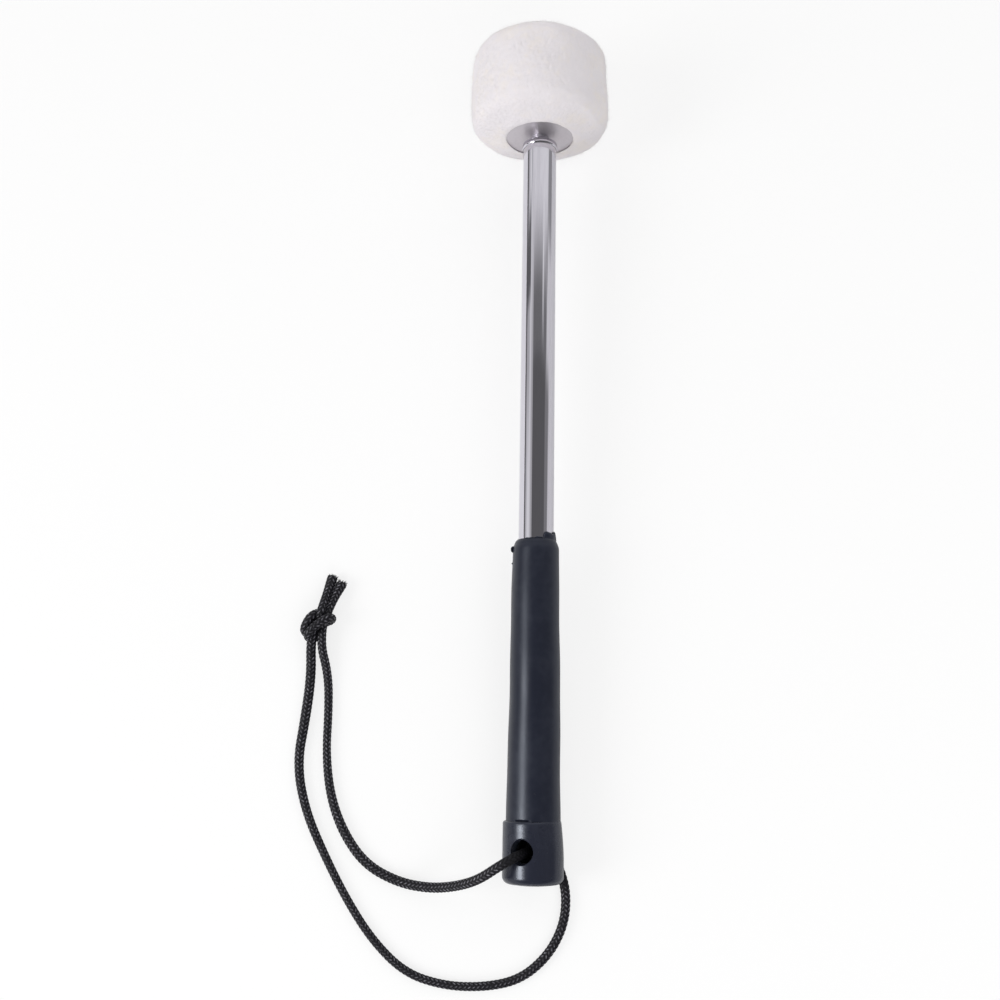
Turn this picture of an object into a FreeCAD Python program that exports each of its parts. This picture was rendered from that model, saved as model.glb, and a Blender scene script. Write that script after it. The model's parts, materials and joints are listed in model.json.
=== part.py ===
import FreeCAD, Part
import math
import os
from FreeCAD import Vector

# Bass drum beater lying on a flat surface, in millimetres, +Z up.
# The shaft runs along +Y with the felt head at the +Y end, X across it.
# Rigid pieces are drawn about a straight axis, the local +Y, with stations measured from the outer face of
# the end cap. They are then laid down together: the felt touches the surface, and the cap rides on its cord.
# The origin is on the surface, under the middle of the beater without its cord.

# Clearances
fit_gap = 0.05
soft_gap = 0.3
thread_gap = 0.05
cut_overrun = 5.0

# End cap
cap_diameter = 21.5
cap_length = 21.2
cap_end_wall = 3.0
cap_lip_depth = 4.5
cap_end_rounding = 2.0
cap_rim_rounding = 0.45

# Cord hole across the cap
hole_diameter = 8.5
hole_station = 11.6
hole_turn_deg = 27.0
hole_mouth_widening = 0.6
hole_mouth_depth = 1.0
tube_hole_clearance = 0.2

# Grip
grip_length = 101.0
sleeve_bottom_diameter = 19.2
sleeve_top_diameter = 17.1
sleeve_wall = 0.8
sleeve_shoulder_length = 3.6
sleeve_shoulder_rounding = 1.6
sleeve_lip_thickness = 0.7
sleeve_lip_rounding = 0.25

# Shaft tube and the plug in its upper end
tube_diameter = 13.0
tube_wall = 1.0
bare_shaft_length = 158.5
tube_end_chamfer = 0.3
plug_length = 14.0
plug_neck_height = 0.7
plug_neck_wall = 0.5
collar_diameter = 13.8
collar_height = 2.4
collar_rounding = 0.9

# Stud and tee nut, a 6 mm thread with a pitch of 1 mm
stud_diameter = 6.0
stud_depth_in_plug = 12.0
stud_tip_chamfer = 0.6
nut_length = 14.5
nut_barrel_diameter = 9.0
nut_flange_diameter = 19.0
nut_flange_thickness = 1.5
stud_tip_room = 2.0
stud_bore_clearance = 0.4

# Washer under the head
washer_diameter = 27.0
washer_thickness = 1.5
washer_bore_clearance = 0.25
washer_edge_rounding = 0.3

# Felt head
head_diameter = 55.0
head_height = 37.7
head_widest_height = 13.0
head_barrel_radius = 170.0
head_crown_rise = 2.5
head_crown_rounding = 5.0
head_base_rounding = 6.0
cover_side_wall = 5.0
cover_base_wall = 3.0
cover_crown_wall = 5.5
cover_opening_diameter = 10.0
padding_side_wall = 5.9
padding_crown_wall = 4.5
padding_rounding = 5.0
core_rounding = 3.0

# Wrist cord
cord_diameter = 3.2
cap_lift = 1.5
cord_reach_in_cap = 4.0
cord_front_bend_reach = 11.8
arc_share = 0.45

# Knot: one slanted wrap round the two strands
strand_gap = 0.1
wrap_gap = 0.1
wrap_half_run = 2.8
knot_heading_deg = 80.0
wrap_slant_deg = 35.0
knot_entry_run = 6.0
knot_exit_run = 8.0

# Radii that follow from the diameters
cap_radius = cap_diameter / 2
hole_radius = hole_diameter / 2
tube_radius = tube_diameter / 2
tube_bore_radius = tube_radius - tube_wall
stud_radius = stud_diameter / 2
washer_radius = washer_diameter / 2
head_radius = head_diameter / 2
cord_radius = cord_diameter / 2

# Stations along the shaft, from the outer face of the cap
cap_rim = cap_length
sleeve_bottom = cap_rim - cap_lip_depth
sleeve_lip = cap_rim + grip_length
sleeve_shoulder = sleeve_lip - sleeve_shoulder_length
tube_bottom = cap_end_wall + fit_gap
tube_top = sleeve_lip + bare_shaft_length
collar_bottom = tube_top + plug_neck_height
collar_top = collar_bottom + collar_height
washer_bottom = collar_top + fit_gap
head_base = washer_bottom + washer_thickness + fit_gap
head_crown = head_base + head_height
core_bottom = head_base + cover_base_wall + soft_gap
padding_top = head_crown - cover_crown_wall - soft_gap
core_top = padding_top - padding_crown_wall - soft_gap
stud_tip = core_bottom + nut_length

# Radii of the layers in the head
padding_radius = head_radius - cover_side_wall - soft_gap
core_radius = padding_radius - padding_side_wall - soft_gap

# Frame of the straight shaft
AXIS = Vector(0, 1, 0)
CENTRE = Vector(0, 0, 0)


def sleeve_radius(station):
    """Outer radius of the tapered grip skin at a station, continued below the cap's rim."""
    slope = (sleeve_top_diameter - sleeve_bottom_diameter) / 2 / (sleeve_shoulder - cap_rim)
    return sleeve_bottom_diameter / 2 + slope * (station - cap_rim)


def underlay_radius(station):
    """Outer radius of the foam layer under the skin."""
    return sleeve_radius(station) - sleeve_wall - fit_gap


def turned(outline):
    """Solid of revolution about the shaft's axis from (station, radius) corners."""
    corners = [Vector(radius, station, 0) for station, radius in outline]
    face = Part.Face(Part.makePolygon(corners + corners[:1]))
    return face.revolve(CENTRE, AXIS, 360)


def rod(radius, start, end):
    """Plain cylinder on the shaft's axis between two stations."""
    return Part.makeCylinder(radius, end - start, Vector(0, start, 0), AXIS)


def ring_edges(solid, station, radius):
    """Circular edges of a turned solid at one station and radius."""
    found = []
    for edge in solid.Edges:
        if edge.Degenerated or not isinstance(edge.Curve, Part.Circle):
            continue
        at_station = abs(edge.Curve.Center.y - station) < fit_gap / 2
        if at_station and abs(edge.Curve.Radius - radius) < fit_gap / 2:
            found.append(edge)
    return found


def hole_direction():
    """Direction of the cord hole before the beater is laid down, out of the mouth that faces up."""
    turn = math.radians(hole_turn_deg)
    return Vector(-math.sin(turn), 0, math.cos(turn))


def cross_hole(radius):
    """Cutter for the cord hole, right across the cap."""
    reach = cap_radius + cut_overrun
    start = Vector(0, hole_station, 0) - hole_direction() * reach
    return Part.makeCylinder(radius, 2 * reach, start, hole_direction())


def mouth_cutter(side):
    """Cone that eases the rim of the cord hole, on the side given as 1 or -1."""
    outward = hole_direction() * side
    slope = hole_mouth_widening / hole_mouth_depth
    start = Vector(0, hole_station, 0) + outward * (cap_radius - hole_mouth_depth)
    depth = hole_mouth_depth + cut_overrun
    return Part.makeCone(hole_radius, hole_radius + slope * depth, depth, start, outward)


def make_end_cap():
    """Rubber cap pushed over the tube's end, with a lip that takes in the end of the grip skin."""
    lip_radius = sleeve_radius(sleeve_bottom) + fit_gap
    body = rod(cap_radius, 0, cap_rim)
    body = body.makeFillet(cap_end_rounding, ring_edges(body, 0, cap_radius))
    body = body.makeFillet(cap_rim_rounding, ring_edges(body, cap_rim, cap_radius))
    body = body.cut(rod(tube_radius + fit_gap, cap_end_wall, cap_rim + cut_overrun))
    body = body.cut(rod(lip_radius, sleeve_bottom - fit_gap, cap_rim + cut_overrun))
    body = body.cut(cross_hole(hole_radius))
    return body.cut(mouth_cutter(1)).cut(mouth_cutter(-1))


def make_shaft_tube():
    """Metal tube from inside the cap to the plug's neck, with the cord hole across it."""
    body = rod(tube_radius, tube_bottom, tube_top)
    body = body.makeChamfer(tube_end_chamfer, ring_edges(body, tube_top, tube_radius))
    body = body.cut(rod(tube_bore_radius, tube_bottom - cut_overrun, tube_top + cut_overrun))
    return body.cut(cross_hole(hole_radius + tube_hole_clearance))


def make_shaft_plug():
    """Plug pressed into the tube, with a narrow neck and a rounded collar that carries the washer."""
    plug_bottom = tube_top - plug_length
    collar = rod(collar_diameter / 2, collar_bottom, collar_top)
    collar = collar.makeFillet(collar_rounding, collar.Edges)
    body = rod(tube_bore_radius - fit_gap, plug_bottom, collar_bottom + collar_rounding)
    neck = rod(tube_bore_radius + plug_neck_wall, tube_top + fit_gap, collar_bottom + collar_rounding)
    body = body.fuse([neck, collar])
    stud_bottom = collar_top - stud_depth_in_plug
    return body.cut(rod(stud_radius + fit_gap, stud_bottom, collar_top + cut_overrun))


def make_head_stud():
    """Threaded stud from the plug up into the tee nut, drawn as a plain rod of the thread's diameter."""
    body = rod(stud_radius, collar_top - stud_depth_in_plug + fit_gap, stud_tip)
    return body.makeChamfer(stud_tip_chamfer, ring_edges(body, stud_tip, stud_radius))


def make_grip_underlay():
    """Foam layer between the tube and the grip skin."""
    top = sleeve_shoulder - fit_gap
    return turned([
        (sleeve_bottom, tube_radius + fit_gap),
        (sleeve_bottom, underlay_radius(sleeve_bottom)),
        (top, underlay_radius(top)),
        (top, tube_radius + fit_gap),
    ])


def make_grip_sleeve():
    """Thin dark skin over the foam, drawn in to the tube above the foam's end."""
    inner_radius = tube_radius + fit_gap
    lip_radius = inner_radius + sleeve_lip_thickness
    body = turned([
        (sleeve_bottom, sleeve_radius(sleeve_bottom) - sleeve_wall),
        (sleeve_bottom, sleeve_radius(sleeve_bottom)),
        (sleeve_shoulder, sleeve_radius(sleeve_shoulder)),
        (sleeve_lip, lip_radius),
        (sleeve_lip, inner_radius),
        (sleeve_shoulder, inner_radius),
        (sleeve_shoulder, sleeve_radius(sleeve_shoulder) - sleeve_wall),
    ])
    shoulder = ring_edges(body, sleeve_shoulder, sleeve_radius(sleeve_shoulder))
    body = body.makeFillet(sleeve_shoulder_rounding, shoulder)
    return body.makeFillet(sleeve_lip_rounding, ring_edges(body, sleeve_lip, lip_radius))


def make_base_washer():
    """Flat washer clamped between the collar and the felt."""
    washer_top = washer_bottom + washer_thickness
    body = rod(washer_radius, washer_bottom, washer_top)
    body = body.makeFillet(washer_edge_rounding, ring_edges(body, washer_bottom, washer_radius))
    bore = rod(stud_radius + washer_bore_clearance, washer_bottom - cut_overrun, washer_top + cut_overrun)
    return body.cut(bore)


def barrel_radius_at(station):
    """Radius of the head's bulged side at a station, before its edges are rounded."""
    offset = station - head_base - head_widest_height
    return head_radius - head_barrel_radius + math.sqrt(head_barrel_radius ** 2 - offset ** 2)


def make_felt_cover():
    """Outer felt: a barrel with a low crown, hollow for the padding and open round the stud."""
    crown_edge = head_crown - head_crown_rise
    widest = head_base + head_widest_height
    edge_radius = barrel_radius_at(crown_edge)
    dome_radius = (edge_radius ** 2 + head_crown_rise ** 2) / (2 * head_crown_rise)
    half_edge = edge_radius / 2
    half_station = head_crown - dome_radius + math.sqrt(dome_radius ** 2 - half_edge ** 2)
    base_corner = Vector(barrel_radius_at(head_base), head_base, 0)
    crown_corner = Vector(edge_radius, crown_edge, 0)
    crown_middle = Vector(0, head_crown, 0)
    base_middle = Vector(0, head_base, 0)
    edges = [
        Part.LineSegment(base_middle, base_corner).toShape(),
        Part.Arc(base_corner, Vector(head_radius, widest, 0), crown_corner).toShape(),
        Part.Arc(crown_corner, Vector(half_edge, half_station, 0), crown_middle).toShape(),
        Part.LineSegment(crown_middle, base_middle).toShape(),
    ]
    body = Part.Face(Part.Wire(edges)).revolve(CENTRE, AXIS, 360)
    body = body.makeFillet(head_base_rounding, ring_edges(body, head_base, base_corner.x))
    body = body.makeFillet(head_crown_rounding, ring_edges(body, crown_edge, edge_radius))
    hollow = rod(padding_radius + soft_gap, core_bottom - soft_gap, padding_top + soft_gap)
    rim = ring_edges(hollow, padding_top + soft_gap, padding_radius + soft_gap)
    hollow = hollow.makeFillet(padding_rounding + soft_gap, rim)
    opening = rod(cover_opening_diameter / 2, head_base - cut_overrun, core_bottom)
    return body.cut(hollow).cut(opening)


def make_felt_padding():
    """Inner felt cup over the sides and the top of the core."""
    body = rod(padding_radius, core_bottom, padding_top)
    body = body.makeFillet(padding_rounding, ring_edges(body, padding_top, padding_radius))
    hollow = rod(core_radius + soft_gap, core_bottom - cut_overrun, core_top + soft_gap)
    return body.cut(hollow)


def make_head_core():
    """Turned wooden core, bored for the tee nut and the stud's tip."""
    body = rod(core_radius, core_bottom, core_top)
    body = body.makeFillet(core_rounding, ring_edges(body, core_top, core_radius))
    flange_top = core_bottom + nut_flange_thickness
    flange_seat = rod(nut_flange_diameter / 2 + fit_gap, core_bottom - cut_overrun, flange_top + fit_gap)
    nut_top = core_bottom + nut_length
    barrel_seat = rod(nut_barrel_diameter / 2 + fit_gap, core_bottom, nut_top + fit_gap)
    tip_bore = rod(stud_radius + stud_bore_clearance, core_bottom, nut_top + stud_tip_room)
    return body.cut(flange_seat.fuse([barrel_seat, tip_bore]))


def make_tee_nut():
    """Flanged nut let into the core's underside."""
    nut_top = core_bottom + nut_length
    flange = rod(nut_flange_diameter / 2, core_bottom, core_bottom + nut_flange_thickness)
    body = flange.fuse(rod(nut_barrel_diameter / 2, core_bottom, nut_top))
    return body.cut(rod(stud_radius + thread_gap, core_bottom - cut_overrun, nut_top + cut_overrun))


def lay_angle(station, radius, arc_radius):
    """Tilt at which a round of the head's outline, given by its centre and radius, touches the surface."""
    run = station - hole_station
    return math.asin((arc_radius - axis_height) / math.hypot(run, radius)) + math.atan2(radius, run)


def resting_tilt():
    """Tilt of the shaft when the head rests on its base rounding or, if that is small, on its bulged side."""
    widest = head_base + head_widest_height
    barrel_centre = head_radius - head_barrel_radius
    rounding_station = head_base + head_base_rounding
    inner = head_barrel_radius - head_base_rounding
    rounding_centre = barrel_centre + math.sqrt(inner ** 2 - (rounding_station - widest) ** 2)
    tilt = lay_angle(rounding_station, rounding_centre, head_base_rounding)
    if tilt < math.asin((widest - rounding_station) / inner):
        tilt = lay_angle(widest, barrel_centre, head_barrel_radius)
    return tilt


axis_height = cap_radius + cap_lift
shaft_tilt = resting_tilt()


def lay_down(shape):
    """Turn a straight-axis shape to the resting tilt, with the cord hole at its height over the surface."""
    laid = shape.copy()
    laid.rotate(Vector(0, hole_station, 0), Vector(1, 0, 0), math.degrees(shaft_tilt))
    laid.translate(Vector(0, 0, axis_height))
    return laid


def route_point(across, along, height):
    """Point of the cord's route: across from the shaft, along from the cord hole, height over the surface."""
    return Vector(across, hole_along + along, height)


def hole_point(reach):
    """Point on the laid-down axis of the cord hole, reach out of its upper mouth from the middle."""
    direction = hole_direction()
    tilted = FreeCAD.Rotation(Vector(1, 0, 0), math.degrees(shaft_tilt)).multVec(direction)
    return Vector(0, hole_along, axis_height) + tilted * reach


def cord_path(points):
    """Straight runs joined by tangent arcs, each as large as its two runs allow, and the least arc radius."""
    edges = []
    radii = []
    last = points[0]
    for before, corner, after in zip(points, points[1:], points[2:]):
        back = before - corner
        ahead = after - corner
        tangent = arc_share * min(back.Length, ahead.Length)
        half_turn = (math.pi - back.getAngle(ahead)) / 2
        back.normalize()
        ahead.normalize()
        radius = tangent / math.tan(half_turn)
        inward = back + ahead
        inward.normalize()
        start = corner + back * tangent
        middle = corner + inward * (radius / math.cos(half_turn) - radius)
        end = corner + ahead * tangent
        edges.append(Part.LineSegment(last, start).toShape())
        edges.append(Part.Arc(start, middle, end).toShape())
        radii.append(radius)
        last = end
    edges.append(Part.LineSegment(last, points[-1]).toShape())
    return Part.Wire(edges), radii


def cord_tube(name, points):
    """Round cord along a route, with its length, volume share and arc radii printed."""
    path, radii = cord_path(points)
    section = Part.Wire(Part.makeCircle(cord_radius, points[0], points[1] - points[0]))
    tube = path.makePipeShell([section], True, False)
    volume_share = tube.Volume / (math.pi * cord_radius ** 2 * path.Length)
    print(name, "length", round(path.Length, 1), "volume share", round(volume_share, 5))
    print(name, "arc radii", [round(radius, 1) for radius in radii])
    return tube


def knot_heading():
    """Direction of the two strands through the knot."""
    heading = math.radians(knot_heading_deg)
    return Vector(math.cos(heading), math.sin(heading), 0)


def strand_point(side, run):
    """Point on a strand in the knot, on the side given as 1 or -1, run along it from the wrap."""
    across = Vector(0, 0, 1).cross(knot_heading()) * -side
    return knot_centre() + across * (cord_radius + strand_gap / 2) + knot_heading() * run


def knot_centre():
    """Middle of the wrap, which lifts the strands off the surface by its own thickness."""
    return route_point(*knot_place, 3 * cord_radius + wrap_gap)


def make_cord_knot():
    """Closed wrap round both strands, slanted across them."""
    slant = math.radians(knot_heading_deg + wrap_slant_deg)
    normal = Vector(math.cos(slant), math.sin(slant), 0)
    side = Vector(0, 0, 1).cross(normal)
    rise = cord_diameter + wrap_gap
    centre = knot_centre()
    pieces = []
    for way in (1, -1):
        end = centre + side * (way * wrap_half_run)
        circle = Part.makeCircle(cord_radius, end + Vector(0, 0, rise), side)
        bend = Part.Face(Part.Wire(circle)).revolve(end, normal * -way, 180)
        start = centre - side * wrap_half_run + Vector(0, 0, way * rise)
        pieces += [bend, Part.makeCylinder(cord_radius, 2 * wrap_half_run, start, side)]
    return pieces[0].fuse(pieces[1:]).removeSplitter()


rigid = {
    "end_cap": make_end_cap(),
    "shaft_tube": make_shaft_tube(),
    "shaft_plug": make_shaft_plug(),
    "head_stud": make_head_stud(),
    "grip_underlay": make_grip_underlay(),
    "grip_sleeve": make_grip_sleeve(),
    "base_washer": make_base_washer(),
    "felt_cover": make_felt_cover(),
    "felt_padding": make_felt_padding(),
    "head_core": make_head_core(),
    "tee_nut": make_tee_nut(),
}
rigid = {name: lay_down(shape) for name, shape in rigid.items()}
box = Part.makeCompound(list(rigid.values())).optimalBoundingBox()
middle_along = (box.YMin + box.YMax) / 2
for shape in rigid.values():
    shape.translate(Vector(0, -middle_along, 0))
hole_along = hole_station - middle_along

# Routes of the cord, chosen by hand: across from the shaft, along from the hole, height over the surface.
# The first points are on the hole's axis, and the last ones run into the knot.
lying = cord_radius
knot_place = (-81.0, 79.8)
front_route = [
    (-11.6, -5.4, 24.0), (-18.8, -10.3, 19.4), (-26.8, -13.4, 11.6), (-36.5, -14.3, 4.8),
    (-47.8, -11.9, lying), (-58.5, -4.9, lying), (-67.4, 4.6, lying), (-73.2, 17.0, lying),
    (-75.6, 32.0, lying), (-75.5, 48.0, lying), (-77.0, 61.0, lying),
]
back_route = [
    (10.0, -6.6, lying), (12.0, -15.8, lying), (10.6, -26.0, lying), (5.0, -35.5, lying),
    (-4.5, -42.6, lying), (-16.5, -46.2, lying), (-30.5, -46.0, lying), (-43.5, -41.0, lying),
    (-55.5, -31.6, lying), (-65.8, -19.2, lying), (-74.0, -4.0, lying), (-81.4, 12.0, lying),
    (-85.8, 28.5, lying), (-85.6, 45.0, lying), (-84.0, 60.5, lying),
]
left_tail_end = (-77.6, 98.8, 2.6)
right_tail_end = (-72.9, 96.9, 2.4)

floor_reach = (axis_height - lying) / math.cos(math.radians(hole_turn_deg)) / math.cos(shaft_tilt)
front_points = [hole_point(cord_reach_in_cap), hole_point(cord_front_bend_reach)]
front_points += [route_point(*place) for place in front_route]
front_points += [strand_point(1, -knot_entry_run), strand_point(1, 0)]
back_points = [hole_point(-cord_reach_in_cap), hole_point(-floor_reach)]
back_points += [route_point(*place) for place in back_route]
back_points += [strand_point(-1, -knot_entry_run), strand_point(-1, 0)]
left_tail_points = [strand_point(-1, 0), strand_point(-1, knot_exit_run), route_point(*left_tail_end)]
right_tail_points = [strand_point(1, 0), strand_point(1, knot_exit_run), route_point(*right_tail_end)]
cap_run = hole_point(cord_reach_in_cap) - hole_point(-cord_reach_in_cap)

cord = {
    "cord_in_cap": Part.makeCylinder(cord_radius, cap_run.Length, hole_point(-cord_reach_in_cap), cap_run),
    "cord_front_leg": cord_tube("cord_front_leg", front_points),
    "cord_back_leg": cord_tube("cord_back_leg", back_points),
    "cord_knot": make_cord_knot(),
    "cord_tail_left": cord_tube("cord_tail_left", left_tail_points),
    "cord_tail_right": cord_tube("cord_tail_right", right_tail_points),
}

os.makedirs("parts", exist_ok=True)
for name, shape in {**rigid, **cord}.items():
    shape.exportStep(os.path.join("parts", name + ".step"))
    print(name, "solids", len(shape.Solids), "valid", shape.isValid(), "volume", round(shape.Volume, 1))

shaft_direction = FreeCAD.Rotation(Vector(1, 0, 0), math.degrees(shaft_tilt)).multVec(AXIS)
print("shaft tilt", round(math.degrees(shaft_tilt), 4), "direction", tuple(shaft_direction))
print("overall length", round(head_crown, 2), "middle along", round(middle_along, 3))
print("cord hole middle", (0.0, round(hole_along, 4), axis_height))
print("cord floor reach", round(floor_reach, 3))
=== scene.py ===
import json
import logging
import math
from dataclasses import dataclass, field
from enum import Enum
from typing import Any, Callable, Sequence

import bpy
import numpy as np
from mathutils import Matrix, Vector


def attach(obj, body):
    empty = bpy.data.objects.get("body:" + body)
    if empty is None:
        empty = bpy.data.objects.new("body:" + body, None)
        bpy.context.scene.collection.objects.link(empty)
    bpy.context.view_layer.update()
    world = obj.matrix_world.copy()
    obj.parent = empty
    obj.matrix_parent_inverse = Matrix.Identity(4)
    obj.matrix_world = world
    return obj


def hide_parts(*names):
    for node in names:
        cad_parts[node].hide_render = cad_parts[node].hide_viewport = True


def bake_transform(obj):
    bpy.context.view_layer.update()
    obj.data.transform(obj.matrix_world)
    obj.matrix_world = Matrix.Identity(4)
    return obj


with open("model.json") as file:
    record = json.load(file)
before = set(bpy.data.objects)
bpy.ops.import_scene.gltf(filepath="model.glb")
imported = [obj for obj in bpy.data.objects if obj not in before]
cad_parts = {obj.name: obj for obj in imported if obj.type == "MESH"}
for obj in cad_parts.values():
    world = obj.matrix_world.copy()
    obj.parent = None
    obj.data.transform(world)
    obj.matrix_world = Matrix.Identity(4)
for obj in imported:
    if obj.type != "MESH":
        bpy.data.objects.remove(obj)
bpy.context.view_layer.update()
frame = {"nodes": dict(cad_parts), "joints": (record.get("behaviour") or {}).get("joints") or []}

# Looks of a bass drum beater that lies on a pale floor: felt head, bright shaft, dark grip and wrist cord.
# Lengths are in metres, and stations run along the shaft from the outer face of the end cap.

MM = 0.001
TINY = 1e-9
MERGE_GAP = 1e-6
POLE = 0.4 * MM
HALF_TURN = 180.0
Span = tuple[float, float]
Triple = tuple[float, float, float]
Point = Triple
Outline = Sequence[Span]
Colour = tuple[float, float, float, float]
Piece = bpy.types.Object
Socket = bpy.types.NodeSocket
RISE: Span = (0.0, 1.0)
FALL: Span = (1.0, 0.0)

log = logging.getLogger("beater")


class Body(Enum):
    """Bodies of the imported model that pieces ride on."""

    HANDLE = "handle"
    HEAD = "head"
    CORD = "wrist_cord"


class End(Enum):
    """How a turned outline ends: in a point on the axis, or joined back to its start."""

    POLE = "pole"
    JOINED = "joined"


def grey(level: float) -> Colour:
    """Plain grey of one level."""
    return (level, level, level, 1.0)


def ramp(values: np.ndarray, start: float, length: float) -> np.ndarray:
    """Share from 0 to 1 over a length past a start."""
    return np.clip((values - start) / length, 0.0, 1.0)


def smooth_step(values: np.ndarray, start: float, length: float) -> np.ndarray:
    """Smooth share from 0 to 1 over a length past a start."""
    share = ramp(values, start, length)
    return share * share * (3.0 - 2.0 * share)


def bell(values: np.ndarray, middle: float, width: float) -> np.ndarray:
    """Share that is 1 in the middle and falls off to both sides."""
    return np.exp(-((values - middle) / width) ** 2)


def joint_named(name: str) -> dict[str, Any]:
    """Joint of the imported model."""
    return next(joint for joint in frame["joints"] if joint["name"] == name)


@dataclass(frozen=True)
class ShaftLine:
    """Line of the shaft in the row frame.

    Attributes:
        foot: Point on the axis at the outer face of the cap.
        along: Unit direction from the cap to the head.
    """

    foot: Vector
    along: Vector

    def matrix(self) -> Matrix:
        """Place of a piece that was turned about the local Z axis, with local -Y upwards.

        Returns:
            The matrix that lays it on the shaft.
        """
        across = Vector((1.0, 0.0, 0.0))
        down = self.along.cross(across)
        place = Matrix((across, down, self.along)).transposed().to_4x4()
        place.translation = self.foot
        return place


@dataclass(frozen=True)
class Stations:
    """Sizes of the beater that the looks share with its solids."""

    cap_rim: float = 21.2 * MM
    sleeve_bottom: float = 16.7 * MM
    sleeve_lip: float = 122.2 * MM
    tube_radius: float = 6.5 * MM
    tube_top: float = 280.7 * MM
    collar_top: float = 283.8 * MM
    washer_radius: float = 13.5 * MM
    head_base: float = 285.4 * MM
    core_bottom: float = 288.7 * MM
    stud_tip: float = 303.2 * MM
    core_top: float = 312.5 * MM
    padding_top: float = 317.3 * MM
    head_crown: float = 323.1 * MM


def shaft_line(stations: Stations) -> ShaftLine:
    """Find the shaft's line from the joint that the head turns on.

    Args:
        stations: Sizes of the beater, of which the head's base is the joint's place.

    Returns:
        The line with its foot at the outer face of the cap.
    """
    turn = joint_named("head_turn")
    along = Vector(turn["axis"]).normalized()
    return ShaftLine(Vector(turn["pos_m"]) - along * stations.head_base, along)


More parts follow.
